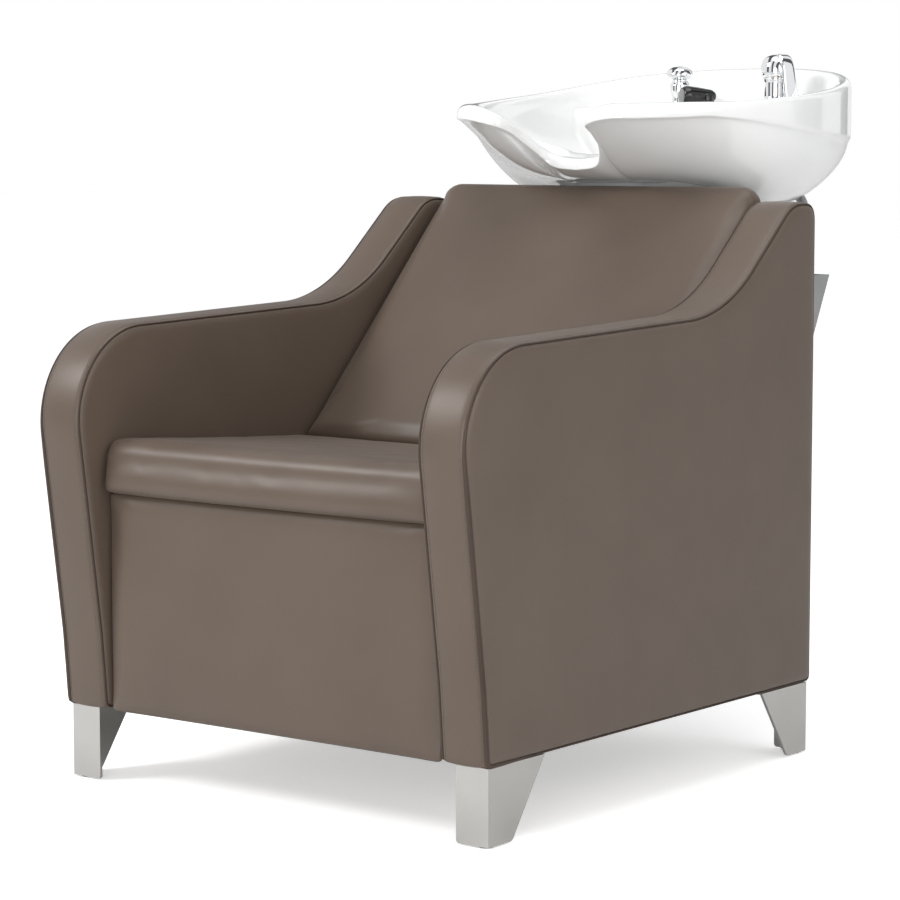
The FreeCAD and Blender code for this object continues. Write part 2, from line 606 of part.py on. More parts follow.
def make_tilt_mount():
    """A fixed yoke on the booms, a cradle that turns on a cross pin, and its friction clamp."""
    make_yoke()
    make_cradle()
    pin = lathe("tilt_pin", bolt_profile("pin_radius + pin_head", "pin_head", "pin_radius",
                                         "pin_length - pin_head"))
    keep(on_the_pivot(pin, "-cheek_span - cheek - washer"), "tilt_pin")
    bore = "pin_radius + running_gap"
    bush = ring_profile(bore, "pin_radius + bush_wall", 0, "cheek_span - ear_span - cheek - 2*running_gap")
    bushes = [on_the_pivot(lathe("tilt_bush", bush), f"{side} * (ear_span + cheek + running_gap)", side)
              for side in (LEFT, RIGHT)]
    group("tilt_bushes", bushes)
    disc = lathe("friction_washer", ring_profile(bore, "pin_radius + washer_wall", 0, "washer"))
    keep(on_the_pivot(disc, "cheek_span + cheek"), "friction_washer")
    rim = "knob_radius - knob_bevel"
    knob = lathe("clamp_knob", [("pin_radius", 0), (rim, 0), ("knob_radius", "knob_bevel"),
                                ("knob_radius", "knob_length - knob_bevel"), (rim, "knob_length"),
                                ("pin_radius", "knob_length")])
    keep(on_the_pivot(knob, "cheek_span + cheek + washer"), "clamp_knob")
    pads = [block("basin_pad", "XY_Plane", [(x, y, "pad_radius")],
                  "cradle_height + cradle_sheet", "bowl_floor")
            for x in ("-pad_reach", "pad_reach") for y in ("drain_y - pad_reach", "drain_y + pad_reach")]
    group("basin_pads", pads)


# ---------------------------------------------------------------- basin

def oblong(name, profile, middle, stretch):
    """A round vessel drawn out along Y: two half turnings with a straight stretch between them."""
    body = new_body(name)
    mirrored = [(f"-({across})", height) for across, height in profile[-2:0:-1]]
    pad(body, "XZ_Plane", [profile[1:-1] + mirrored], f"{middle} - {stretch}", f"{middle} + {stretch}")
    for end, backwards in ((f"{middle} - {stretch}", True), (f"{middle} + {stretch}", False)):
        sketch = new_sketch(body, "XZ_Plane", [profile], f"-({end})")
        feature = body.newObject("PartDesign::Revolution", name + "_end")
        feature.Profile = sketch
        feature.ReferenceAxis = (sketch, ["V_Axis"])
        feature.Angle = 180
        feature.Reversed = backwards
        body.Tip = feature
        doc.recompute()
    return body


HALF, STRETCH = "basin_half_width", "(basin_half_length - basin_half_width)"
BASIN_FRONT, BASIN_REAR = "(basin_y - basin_half_length)", "(basin_y + basin_half_length)"


def basin_outside():
    """The outside of the oblong dish with the round bowl under it."""
    dish = oblong("dish", [(0, "dish_floor"), (f"{HALF} - dish_foot", "dish_floor"),
                           (f"{HALF} - dish_knee", "dish_floor + dish_knee_rise"),
                           (f"{HALF} - dish_side", "dish_floor + dish_side_rise"), (HALF, "basin_top"),
                           (0, "basin_top")], "basin_y", STRETCH)
    bowl = lathe("bowl", [(0, "bowl_floor"), ("bowl_foot", "bowl_floor"),
                          ("bowl_knee", "bowl_floor + bowl_knee_rise"),
                          ("bowl_mouth", "dish_floor + bowl_lap"),
                          (0, "dish_floor + bowl_lap")])
    put(bowl, "0", "bowl_y", "0")
    return joined("basin_outside", "Part::Fuse", dish, bowl)


def basin_hollows():
    """What is hollow inside: the water room up to the deck, the bowl, and the room under the deck."""
    over = "(basin_top + basin_margin)"
    low = "(inner_floor - spare)"
    dish = oblong("inner_dish", [(0, "inner_floor"), (f"{HALF} - inner_foot", "inner_floor"),
                                 (f"{HALF} - inner_knee", "inner_floor + inner_knee_rise"),
                                 (f"{HALF} - inner_side", "inner_floor + inner_side_rise"),
                                 (f"{HALF} - wall", over), (0, over)], "basin_y", STRETCH)
    bowl = lathe("inner_bowl", [(0, "bowl_floor + wall"), ("inner_bowl_foot", "bowl_floor + wall"),
                                ("inner_bowl_knee", "bowl_floor + inner_bowl_knee_rise"),
                                ("inner_bowl_mouth", "inner_floor + inner_bowl_lap"),
                                (0, "inner_floor + inner_bowl_lap")])
    put(bowl, "0", "bowl_y", "0")
    ahead = box("ahead_of_deck", (f"-{HALF}", BASIN_FRONT, low), (HALF, "deck_front", over))
    above = box("above_deck", (f"-{HALF}", "deck_front - spare", "deck_height"), (HALF, BASIN_REAR, over))
    under = box("under_deck", (f"-{HALF}", "deck_front + wall", low),
                (HALF, BASIN_REAR, "deck_height - deck_thickness"))
    reach = joined("reach", "Part::Fuse", ahead, above)
    return [joined("water_room", "Part::Common", dish, reach), bowl,
            joined("tap_room", "Part::Common", dish, under)]


def basin_cuts():
    """The rim's slope, the neck notch, the access to the taps from below and the bored holes."""
    front, rear = f"{BASIN_FRONT} - basin_margin", f"{BASIN_REAR} + basin_margin"
    over = "(basin_top + basin_margin)"
    slope = [(front, "rim_front_height"), ("rim_bend", "rim_bend_height"), (rear, "rim_rear_height"),
             (rear, over), (front, over)]
    rim = block("rim_cut", "YZ_Plane", [slope], f"-{HALF} - basin_margin", f"{HALF} + basin_margin")

    foot, side = "notch_half_width*notch_foot_share", "notch_half_width*notch_side_share"
    low, knee = "inner_floor + spare", "inner_floor + notch_side_rise"
    outline = [(f"-{foot}", low), (foot, low), (side, knee), ("notch_half_width", over),
               ("-notch_half_width", over), (f"-{side}", knee)]
    notch = new_body("notch")
    sketch = pad(notch, "XZ_Plane", [outline], front, f"{BASIN_FRONT} + notch_reach")
    round_corners(notch, sketch, {0: "notch_foot_round", 1: "notch_foot_round", 2: "notch_side_round",
                                  5: "notch_side_round"})

    access_front = "(deck_front + wall + 3*spare)"
    access = box("tap_access", ("-access_half_width", access_front, "bowl_floor"),
                 ("access_half_width", f"{access_front} + access_depth", "inner_floor + access_rise"))
    holes = []
    for x, y in (("mixer_x", "mixer_y"), ("breaker_x", "breaker_y"), ("spray_x", "spray_y")):
        hole = rod("tap_hole", "shank_bore", "deck_thickness + 2*spare")
        holes.append(put(hole, x, y, "deck_height - deck_thickness - spare"))
    drain = put(rod("drain_hole", "drain_bore", "2*wall"), "0", "drain_y", "bowl_floor - spare")
    return [rim, notch, access, drain, *holes]


def make_basin():
    basin = joined("basin", "Part::Cut", basin_outside(), *basin_hollows(), *basin_cuts())
    keep(basin, "basin")


# ---------------------------------------------------------------- taps, on the basin's deck

def on_the_deck(piece, tap, label, height="0", turn=0):
    """Stand a piece on the deck, on the axis of one of the taps, turned about that axis."""
    spot = (tap + "_x", tap + "_y", f"deck_height + ({height})")
    return keep(put(piece, *spot, (0, 0, 1), turn), label)


def tap_fixing(tap):
    """A gasket above the deck and a back nut below it."""
    gasket = lathe(tap + "_gasket", ring_profile("shank_radius", "gasket_radius", 0, "tap_gasket"))
    on_the_deck(gasket, tap, tap + "_gasket")
    nut = lathe(tap + "_nut", ring_profile("shank_radius", "tap_nut", 0, "tap_nut_height"))
    on_the_deck(nut, tap, tap + "_nut", "-deck_thickness - tap_nut_height")


def make_mixer_dome():
    """The turning head of the mixer, with a slot for the lever and the lever's pin across it."""
    dome = new_body("mixer_dome")
    low, high = "mixer_height + dome_gap", "mixer_height + dome_height"
    bore, bore_top = "stem_radius + running_gap", "mixer_height + stem_height + dome_gap"
    profile = [(bore, low), ("mixer_radius", low), ("mixer_radius", high), (0, high), (0, bore_top),
               (bore, bore_top)]
    turning = dome.newObject("PartDesign::Revolution", "dome_turning")
    turning.Profile = new_sketch(dome, "XZ_Plane", [profile])
    turning.ReferenceAxis = (turning.Profile[0], ["V_Axis"])
    dome.Tip = turning
    doc.recompute()
    round_face(dome, (0, 0, 1), "dome_round")
    slot = rectangle("-slot_half_width", "-mixer_radius - spare",
                     "slot_half_width", "-mixer_radius + slot_depth")
    pocket(dome, "XY_Plane", [slot], "mixer_height + slot_foot", "mixer_height + slot_head")
    pin = ("-lever_y", "mixer_height + lever_height", "lever_pin")
    pad(dome, "YZ_Plane", [pin], "-slot_half_width - spare", "slot_half_width + spare")
    on_the_deck(dome, "mixer", "mixer_dome", turn=SIZES["lever_way"])


def make_mixer_lever():
    """A bar from the dome that bends down outside it, with a bore for its pin."""
    lever = new_body("mixer_lever")
    root, tip = "-mixer_radius + slot_depth - 2*spare", "-mixer_radius - lever_length"
    outline = [(root, "-lever_root"), ("-mixer_radius - lever_neck", "-lever_neck"),
               (f"{tip} + lever_thickness", "-lever_droop"), (tip, "-lever_droop"),
               ("-mixer_radius - lever_knee", "lever_round"), (root, "lever_root")]
    sketch = pad(lever, "YZ_Plane", [outline], "-lever_half_width", "lever_half_width")
    round_corners(lever, sketch, {1: "lever_round", 2: "lever_round", 3: "lever_round", 4: "2*lever_round"})
    pin_bore = ("-lever_y", "0", "lever_pin + running_gap")
    pocket(lever, "YZ_Plane", [pin_bore], "-lever_half_width", "lever_half_width")
    on_the_deck(lever, "mixer", "mixer_lever", "mixer_height + lever_height", SIZES["lever_way"])


def make_mixer():
    """Single lever mixer: body through the deck, cartridge in the body, dome and lever on top."""
    tap_fixing("mixer")
    floor = "mixer_height - cartridge_depth"
    body = lathe("mixer_body", [(0, "-mixer_shank"), ("shank_radius", "-mixer_shank"),
                                ("shank_radius", "tap_gasket"), ("mixer_foot", "tap_gasket"),
                                ("mixer_foot", "mixer_foot_height"), ("mixer_column", "mixer_column_foot"),
                                ("mixer_column", "mixer_height - mixer_flare"),
                                ("mixer_radius", "mixer_height"),
                                ("cartridge_bore", "mixer_height"), ("cartridge_bore", floor), (0, floor)])
    on_the_deck(body, "mixer", "mixer_body")
    skin = "cartridge_bore - running_gap"
    cartridge = lathe("mixer_cartridge", [(0, floor), (skin, floor), (skin, "mixer_height"),
                                          ("stem_radius", "mixer_height"),
                                          ("stem_radius", "mixer_height + stem_height"),
                                          (0, "mixer_height + stem_height")])
    on_the_deck(cartridge, "mixer", "mixer_cartridge")
    make_mixer_dome()
    make_mixer_lever()


def make_breaker():
    """The vacuum breaker: a turned body with a float inside and a mushroom cap on top."""
    tap_fixing("breaker")
    outside = [("air_passage", "-breaker_shank"), ("shank_radius", "-breaker_shank"),
               ("shank_radius", "tap_gasket"), ("breaker_foot", "tap_gasket"),
               ("breaker_foot", "breaker_foot_height"), ("breaker_neck", "breaker_neck_foot"),
               ("breaker_neck", "breaker_neck_head"), ("breaker_bulb", "breaker_bulb_foot"),
               ("breaker_bulb", "breaker_height")]
    inside = [("float_room", "breaker_height"), ("float_room", "float_seat"),
              ("air_passage", "breaker_neck_head")]
    body = lathe("breaker_body", outside + inside)
    on_the_deck(body, "breaker", "breaker_body")
    low, rim = "float_seat + 2*float_gap", "float_room - float_gap"
    disc_top = "float_seat + float_disc"
    disc = lathe("breaker_float", [(0, low), (rim, low), (rim, disc_top), ("float_stem", disc_top),
                                   ("float_stem", "float_seat + float_height"),
                                   (0, "float_seat + float_height")])
    on_the_deck(disc, "breaker", "breaker_float")
    lip, top = "breaker_height + cap_lip", "breaker_height + cap_height"
    mushroom = [(0, top), ("float_room", f"{top} - spare"), ("cap_shoulder", f"{top} - cap_lip - spare"),
                ("cap_radius", f"{lip} + cap_lip_height"), ("cap_radius", lip),
                ("breaker_bulb", "breaker_height + 2*spare"), ("breaker_bulb", "breaker_height")]
    hollow = [("float_room", "breaker_height"), ("float_room", "breaker_height + cap_lip_height"),
              (0, "breaker_height + 2*cap_lip_height")]
    cap = lathe("breaker_cap", mushroom + hollow)
    on_the_deck(cap, "breaker", "breaker_cap")


def make_spray():
    """Holder ring in the deck, and the hand spray with its face and the straight of its hose."""
    low = "-holder_shank_length"
    holder = lathe("spray_holder", [("holder_bore", low), ("holder_shank", low), ("holder_shank", 0),
                                    ("holder_rim", 0), ("holder_rim", "holder_rim_height"),
                                    ("holder_ring", "holder_height"), ("holder_bore", "holder_height")])
    on_the_deck(holder, "spray", "spray_holder")
    shelf = "holder_height + running_gap"
    handle = lathe("spray_handle", [(0, "-grip_foot"), ("spray_hose_radius", "-grip_foot"),
                                    ("grip_radius", "-grip_taper"), ("grip_radius", shelf),
                                    ("shank_bore", shelf), ("grip_shoulder", "grip_shoulder_height"),
                                    ("head_back", "grip_height"),
                                    (0, "grip_height")])
    put(handle, "spray_x", "spray_y", "deck_height")
    head = lathe("spray_cone", [(0, "-head_waist"), ("head_back", "-head_waist"), ("head_waist", 0),
                                ("head_radius", "head_cone"), ("head_radius", "head_face"),
                                (0, "head_face")])
    way = math.radians(SIZES["head_way"])
    hinge = (math.cos(way), -math.sin(way), 0)
    put(head, "spray_x", "spray_y", "deck_height + grip_height", hinge, 90)
    keep(joined("spray_head", "Part::Fuse", handle, head), "spray_head")
    face = lathe("spray_face", ring_profile(0, "face_radius", "head_face", "head_face + face_thickness"))
    put(face, "spray_x", "spray_y", "deck_height + grip_height", hinge, 90)
    keep(face, "spray_face")
    hose = lathe("spray_hose", ring_profile(0, "spray_hose_radius", "-spray_hose_end", "-grip_foot"))
    on_the_deck(hose, "spray", "spray_hose")


# ---------------------------------------------------------------- plumbing

def on_the_drain(piece, height, label):
    return keep(put(piece, "0", "drain_y", height), label)


def make_drain():
    """Flange through the bowl's floor with a lift-out strainer, its gasket and nut, and the tail pipe."""
    flange = lathe("drain_flange", [("flange_bore", "-flange_length"), ("flange_radius", "-flange_length"),
                                    ("flange_radius", 0), ("flange_rim", 0),
                                    ("flange_rim", "flange_rise/2"),
                                    ("flange_rim - flange_rise", "flange_rise"),
                                    ("flange_radius + gasket_thickness", "strainer_seat - running_gap"),
                                    ("flange_bore", "strainer_seat - running_gap")])
    on_the_drain(flange, "bowl_floor + wall", "drain_flange")

    strainer = new_body("hair_strainer")
    cup, low = (0, 0, "strainer_cup"), "-strainer_depth"
    pad(strainer, "XY_Plane", [cup], low, f"{low} + strainer_wall")
    pad(strainer, "XY_Plane", [(0, 0, "strainer_radius")], "strainer_seat", "strainer_seat + strainer_wall")
    pad(strainer, "XY_Plane", [cup, (0, 0, "strainer_cup - strainer_wall")], low, "strainer_seat")
    slots = [(f"{ring}*cos({angle})", f"{ring}*sin({angle})", "slot_radius")
             for ring, step in (("slot_ring_inner", 60), ("slot_ring_outer", 36))
             for angle in range(0, 360, step)]
    pocket(strainer, "XY_Plane", slots, low, "strainer_seat + strainer_wall")
    on_the_drain(strainer, "bowl_floor + wall", "hair_strainer")

    gasket = lathe("drain_gasket", ring_profile("flange_radius", "gasket_rim", "-gasket_thickness", 0))
    on_the_drain(gasket, "bowl_floor", "drain_gasket")
    nut_foot = "-gasket_thickness - drain_nut_height"
    nut = lathe("drain_nut", ring_profile("flange_radius", "flange_rim", nut_foot, "-gasket_thickness"))
    on_the_drain(nut, "bowl_floor", "drain_nut")
    tail = lathe("tail_pipe", ring_profile("tail_bore", "tail_radius", 0, "tail_length"))
    on_the_drain(tail, "bowl_floor - tail_drop", "tail_pipe")


def bent_line(points, bend):
    """A wire of straight stretches joined by arcs of one radius."""
    spots = [FreeCAD.Vector(*point) for point in points]
    edges = []
    last = spots[0]
    for before, corner, after in zip(spots, spots[1:], spots[2:]):
        back = (before - corner).normalize()
        ahead = (after - corner).normalize()
        half_turn = (math.pi - back.getAngle(ahead)) / 2
        reach = bend * math.tan(half_turn)
        depth = bend / math.cos(half_turn) - bend
        start, end = corner + back * reach, corner + ahead * reach
        middle = corner + (back + ahead).normalize() * depth
        edges.append(Part.makeLine(last, start))
        edges.append(Part.Arc(start, middle, end).toShape())
        last = end
    edges.append(Part.makeLine(last, spots[-1]))
    return Part.Wire(edges)


def hose_along(points, radius, bend):
    """A round hose whose centre line is a bent line that starts straight down."""
    ring = Part.Wire(Part.Circle(FreeCAD.Vector(*points[0]), FreeCAD.Vector(0, 0, 1), radius).toShape())
    return bent_line(points, bend).makePipeShell([ring], True, False)


def make_supply_hose(label, start_x, x):
    """A braided hose from the mixer's shank, under the bowl and down inside the back, with its nut."""
    points = [(start_x, sheet.mixer_y, sheet.deck_height - sheet.mixer_shank - sheet.spare),
              (start_x, sheet.mixer_y, sheet.hose_turn_height),
              (x, sheet.hose_under_y, sheet.hose_under_height),
              (x, sheet.hose_exit_y, sheet.hose_exit_height),
              (x, sheet.outlet_y, sheet.hose_foot_height),
              (x, sheet.outlet_y, sheet.outlet_height + sheet.nut_height)]
    hose = doc.addObject("Part::Feature", label)
    hose.Shape = hose_along(points, sheet.hose_radius, sheet.hose_bend)
    keep(hose, label)
    nut = lathe(label + "_nut", [("thread_radius", 0), ("nut_radius", 0), ("nut_radius", "nut_height"),
                                 (0, "nut_height"), (0, "thread_length"),
                                 ("thread_radius", "thread_length")])
    keep(put(nut, str(x), "outlet_y", "outlet_height"), label + "_nut")


def make_waste_hose():
    """The waste hose from the tail pipe to the floor, ending in a plain cuff."""
    y_out, low = sheet.outlet_y, sheet.outlet_height
    points = [(0, sheet.drain_y, sheet.bowl_floor - sheet.tail_drop - sheet.spare/2),
              (0, sheet.drain_y, sheet.waste_turn_height), (0, y_out, sheet.waste_foot_height),
              (0, y_out, low + sheet.cuff_length/2)]
    run = hose_along(points, sheet.waste_radius - sheet.cuff_rim, sheet.waste_bend)
    cuff = Part.makeCylinder(sheet.waste_radius, sheet.cuff_length, FreeCAD.Vector(0, y_out, low))
    hose = doc.addObject("Part::Feature", "waste_hose")
    hose.Shape = run.fuse(cuff)
    keep(hose, "waste_hose")


def make_hoses():
    make_supply_hose("supply_hose_hot", sheet.hot_start, sheet.hot_x)
    make_supply_hose("supply_hose_cold", sheet.cold_start, sheet.cold_x)
    make_waste_hose()


# ---------------------------------------------------------------- rear cover

def make_rear_cover():
    """A wedge shaped shell, open at the top and towards the chair, that hides bracket and hoses."""
    front, half = f"{REAR} + rear_inset", "cover_half_width"
    cover = new_body("rear_cover")
    wedge = [(front, "cover_foot"), (f"{front} + cover_reach", "cover_head"), (front, "cover_head")]
    pad(cover, "YZ_Plane", [wedge], f"-{half}", half)
    slope = "(cover_head - cover_foot)/cover_reach"
    foot = f"cover_foot - cover_depth*{slope} + 3*cover_wall"
    high = "cover_head + spare"
    inside = [(f"{front} - cover_depth", foot), (f"{front} + cover_reach - 1.1*cover_wall", high),
              (f"{front} - cover_depth", high)]
    pocket(cover, "YZ_Plane", [inside], f"-{half} + cover_wall", f"{half} - cover_wall")
    keep(cover, "rear_cover")


# ---------------------------------------------------------------- build and save

def build():
    make_legs()
    for side in (LEFT, RIGHT):
        make_arm(side)
    make_base_frame()
    make_basin_bracket()
    make_seat()
    make_back()
    make_front_and_rear_panels()
    make_tilt_mount()
    make_basin()
    make_mixer()
    make_breaker()
    make_spray()
    make_drain()
    make_hoses()
    make_rear_cover()


def save():
    """Check every object, then write one file per piece."""
    doc.recompute()
    for item in doc.Objects:
        if "Invalid" in item.State or "Error" in item.State:
            raise RuntimeError(f"{item.Label} is in state {item.State}")
    os.makedirs("parts", exist_ok=True)
    for piece in PIECES:
        shape = piece.Shape
        if shape.isNull() or not shape.isValid() or not shape.Solids:
            raise RuntimeError(f"{piece.Label} has no valid solid")
        shape.exportStep(os.path.join("parts", piece.Label + ".step"))


build()
save()
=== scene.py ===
import json
import math

import bmesh
import bpy
import numpy as np
from mathutils import Matrix, Vector, geometry


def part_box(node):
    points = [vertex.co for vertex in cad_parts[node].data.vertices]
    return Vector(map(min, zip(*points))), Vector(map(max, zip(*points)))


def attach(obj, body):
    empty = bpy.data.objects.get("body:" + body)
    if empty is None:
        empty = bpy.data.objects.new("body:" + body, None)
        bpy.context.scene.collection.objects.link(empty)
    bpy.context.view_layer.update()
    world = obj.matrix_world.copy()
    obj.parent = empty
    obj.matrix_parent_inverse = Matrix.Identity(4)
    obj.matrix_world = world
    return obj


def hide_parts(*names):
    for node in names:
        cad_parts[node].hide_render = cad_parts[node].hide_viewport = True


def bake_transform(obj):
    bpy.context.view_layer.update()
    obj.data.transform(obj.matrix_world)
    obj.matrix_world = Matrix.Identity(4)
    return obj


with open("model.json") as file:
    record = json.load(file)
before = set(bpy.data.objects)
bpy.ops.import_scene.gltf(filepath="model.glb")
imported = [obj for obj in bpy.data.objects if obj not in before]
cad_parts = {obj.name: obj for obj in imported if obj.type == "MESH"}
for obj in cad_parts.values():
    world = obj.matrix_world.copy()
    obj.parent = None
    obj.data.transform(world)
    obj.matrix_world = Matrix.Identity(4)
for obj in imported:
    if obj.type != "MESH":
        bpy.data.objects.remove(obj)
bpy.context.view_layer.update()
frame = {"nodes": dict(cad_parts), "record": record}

# Everything is in metres, in the CAD frame: +X the sitter's left, +Y the rear, +Z up.
MM = 0.001
FRONT = -0.360                       # the arms' lower front edge
INNER_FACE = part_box("arm_inner_panel_left")[0].x
OUTER_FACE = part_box("arm_outer_panel_left")[1].x
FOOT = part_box("arm_band_left")[0].z
ARM_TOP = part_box("arm_band_left")[1].z
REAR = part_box("arm_band_left")[1].y
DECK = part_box("mixer_gasket")[0].z   # level deck in the basin that carries the taps
UP = np.array([0, 0, 1.0])


# ---------------- mesh helpers

def new_object(name, verts, faces):
    """A piece from its points and faces, put into the scene."""
    mesh = bpy.data.meshes.new(name)
    mesh.from_pydata([tuple(v) for v in verts], [], faces)
    mesh.validate()
    mesh.update()
    piece = bpy.data.objects.new(name, mesh)
    bpy.context.scene.collection.objects.link(piece)
    return piece


def smooth(piece):
    """Shade a piece smoothly."""
    piece.data.polygons.foreach_set("use_smooth", [True] * len(piece.data.polygons))
    return piece


def grid_faces(rows, columns, wrap_rows=False, start=0):
    """Quads between rings of points numbered row by row; each row closes on itself."""
    faces = []
    for r in range(rows if wrap_rows else rows - 1):
        for c in range(columns):
            r2, c2 = (r + 1) % rows, (c + 1) % columns
            faces.append((start + r * columns + c, start + r * columns + c2,
                          start + r2 * columns + c2, start + r2 * columns + c))
    return faces


def end_caps(rows, columns, start=0):
    """The two faces that close the ends of a swept grid."""
    last = start + (rows - 1) * columns
    return [tuple(range(start, start + columns))[::-1], tuple(range(last, last + columns))]


def apply_modifier(piece, kind, **settings):
    """Add a modifier, set it up and bake it into the mesh."""
    modifier = piece.modifiers.new(kind.title(), kind)
    for key, value in settings.items():
        setattr(modifier, key, value)
    bake(piece)
    return piece


def bake(piece):
    """Turn whatever the modifiers show now into the mesh itself."""
    depsgraph = bpy.context.evaluated_depsgraph_get()
    depsgraph.update()
    result = bpy.data.meshes.new_from_object(piece.evaluated_get(depsgraph))
    piece.modifiers.clear()
    old = piece.data
    piece.data = result
    bpy.data.meshes.remove(old)


def points_of(piece):
    """The piece's points as rows of x, y, z."""
    spots = np.zeros(len(piece.data.vertices) * 3)
    piece.data.vertices.foreach_get("co", spots)
    return spots.reshape(-1, 3)


def set_points(piece, spots):
    """Move the piece's points."""
    piece.data.vertices.foreach_set("co", np.asarray(spots, dtype=float).ravel())
    piece.data.update()


def arc_corner(before, corner, after, radius, step):
    """Points of the arc that rounds one corner of an outline."""
    a = (before - corner).normalized()
    b = (after - corner).normalized()
    turn = math.pi - a.angle(b)
    reach = radius * math.tan(turn / 2)
    start, end = corner + a * reach, corner + b * reach
    middle = corner + (a + b).normalized() * (radius / math.cos(turn / 2))
    count = max(3, int(radius * turn / step))
    spots = []
    for index in range(count + 1):
        share = index / count
        chord = (start - middle).lerp(end - middle, share).normalized()
        along = (start - middle).normalized().slerp((end - middle).normalized(), share, chord)
        spots.append(middle + along * radius)
    return spots


def rounded_outline(corners, step):
    """A closed outline from (y, z, radius) corners, with an even spacing of points."""
    spots = []
    count = len(corners)
    for index, (y, z, radius) in enumerate(corners):
        before = Vector(corners[index - 1][:2])
        after = Vector(corners[(index + 1) % count][:2])
        spots += arc_corner(before, Vector((y, z)), after, radius, step)
    return resample([tuple(s) for s in spots], step, closed=True)


def resample(spots, step, closed=False):
    """The same line with points at an even spacing."""
    line = np.array(list(spots) + ([spots[0]] if closed else []), dtype=float)
    gaps = np.linalg.norm(np.diff(line, axis=0), axis=1)
    along = np.concatenate([[0], np.cumsum(gaps)])
    count = max(4, int(round(along[-1] / step)))
    marks = np.linspace(0, along[-1], count + 1)
    if closed:
        marks = marks[:-1]
    return np.stack([np.interp(marks, along, line[:, k]) for k in range(line.shape[1])], axis=1)


def smoothstep(low, high, value):
    """0 below low, 1 above high and a soft S between them."""
    t = np.clip((value - low) / (high - low), 0, 1)
    return t * t * (3 - 2 * t)


def inward_normals(outline):
    """Unit normals that point into a closed outline of y, z points."""
    forward = np.roll(outline, -1, axis=0) - np.roll(outline, 1, axis=0)
    forward /= np.linalg.norm(forward, axis=1)[:, None]
    following = np.roll(outline, -1, axis=0)
    area = np.sum(outline[:, 0] * following[:, 1] - following[:, 0] * outline[:, 1])
    side = 1 if area > 0 else -1
    return side * np.stack([-forward[:, 1], forward[:, 0]], axis=1)


def smooth_line(knots, step):
    """A smooth open curve (Catmull-Rom) through the knots, evenly spaced."""
    knots = [np.array(k, dtype=float) for k in knots]
    line = []
    padded = [2 * knots[0] - knots[1]] + knots + [2 * knots[-1] - knots[-2]]
    for a, b, c, d in zip(padded, padded[1:], padded[2:], padded[3:]):
        for t in np.linspace(0, 1, 24, endpoint=False):
            line.append(0.5 * (2 * b + (c - a) * t + (2 * a - 5 * b + 4 * c - d) * t**2
                               + (3 * b - a - 3 * c + d) * t**3))
    line.append(knots[-1])
    return resample(line, step)


def tube(name, line, radius, sides=16, closed=False, ripple=None):
    """A round tube along a line of points; ripple(i) scales the radius along it."""
    line = np.asarray(line, dtype=float)
    count = len(line)
    if closed:
        forward = np.roll(line, -1, axis=0) - np.roll(line, 1, axis=0)
    else:
        forward = np.gradient(line, axis=0)
    forward /= np.linalg.norm(forward, axis=1)[:, None]
    up = np.cross(forward[0], [1.0, 0.3, 0.2])
    verts = []
    for index in range(count):
        up = up - forward[index] * np.dot(up, forward[index])
        up /= np.linalg.norm(up)
        across = np.cross(forward[index], up)
        size = radius * (ripple(index) if ripple else 1)
        for side in range(sides):
            angle = 2 * math.pi * side / sides
            verts.append(line[index] + size * (math.cos(angle) * up + math.sin(angle) * across))
    faces = grid_faces(count, sides, wrap_rows=closed)
    if not closed:
        faces += end_caps(count, sides)
    return smooth(new_object(name, verts, faces))


def lathe(name, profile, place, turn=None, sides=64, hollow=False):
    """A piece turned from a line of (radius, height) points; a hollow one is a closed ring."""
    verts = []
    for radius, height in profile:
        for side in range(sides):
            angle = 2 * math.pi * side / sides
            verts.append(Vector((radius * math.cos(angle), radius * math.sin(angle), height)))
    faces = grid_faces(len(profile), sides, wrap_rows=hollow)
    if not hollow:
        faces += end_caps(len(profile), sides)
    matrix = Matrix.Translation(place) @ (turn or Matrix())
    return smooth(new_object(name, [matrix @ v for v in verts], faces))


def soft_profile(knots, radius):
    """Round the corners of a lathe profile so that edges catch the light."""
    nearly_straight = 0.05
    step = 0.0008
    spots = [Vector(knots[0])]
    for before, corner, after in zip(knots, knots[1:], knots[2:]):
        a, c, b = Vector(before), Vector(corner), Vector(after)
        turn = math.pi - (a - c).angle(b - c)
        room = 0.45 * min((a - c).length, (b - c).length)
        if turn < nearly_straight:
            spots.append(c)
            continue
        size = min(radius, room / math.tan(turn / 2))
        spots += arc_corner(a, c, b, size, step)
    spots.append(Vector(knots[-1]))
    return [tuple(s) for s in spots]


def dress(piece, material, body, slot, *nodes):
    """Give a piece its material and its body, and hide the CAD nodes that it stands for."""
    piece.data.materials.clear()
    piece.data.materials.append(material)
    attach(piece, body)
    if nodes:
        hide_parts(*nodes)
    return piece


# ---------------- materials

def new_material(name):
    """An empty node material, its node tree and its main shader."""
    material = bpy.data.materials.new(name)
    material.use_nodes = True
    tree = material.node_tree
    shader = tree.nodes["Principled BSDF"]
    return material, tree, shader


def texture(tree, kind, scale, stretch=(1, 1, 1), **settings):
    """A procedural texture in object space, with its own stretch."""
    place = tree.nodes.new("ShaderNodeTexCoord")
    mapping = tree.nodes.new("ShaderNodeMapping")
    mapping.inputs["Scale"].default_value = stretch
    tree.links.new(place.outputs["Object"], mapping.inputs["Vector"])
    node = tree.nodes.new(kind)
    node.inputs["Scale"].default_value = scale
    for key, value in settings.items():
        if key in node.inputs:
            node.inputs[key].default_value = value
        else:
            setattr(node, key, value)
    tree.links.new(mapping.outputs["Vector"], node.inputs["Vector"])
    return node


def ramp(tree, source, stops):
    """Turn a 0..1 value into a colour by (position, colour) stops."""
    node = tree.nodes.new("ShaderNodeValToRGB")
    elements = node.color_ramp.elements
    while len(elements) < len(stops):
        elements.new(0.5)
    for element, (position, value) in zip(elements, stops):
        element.position = position
        element.color = (*value, 1)
    tree.links.new(source, node.inputs["Fac"])
    return node.outputs["Color"]


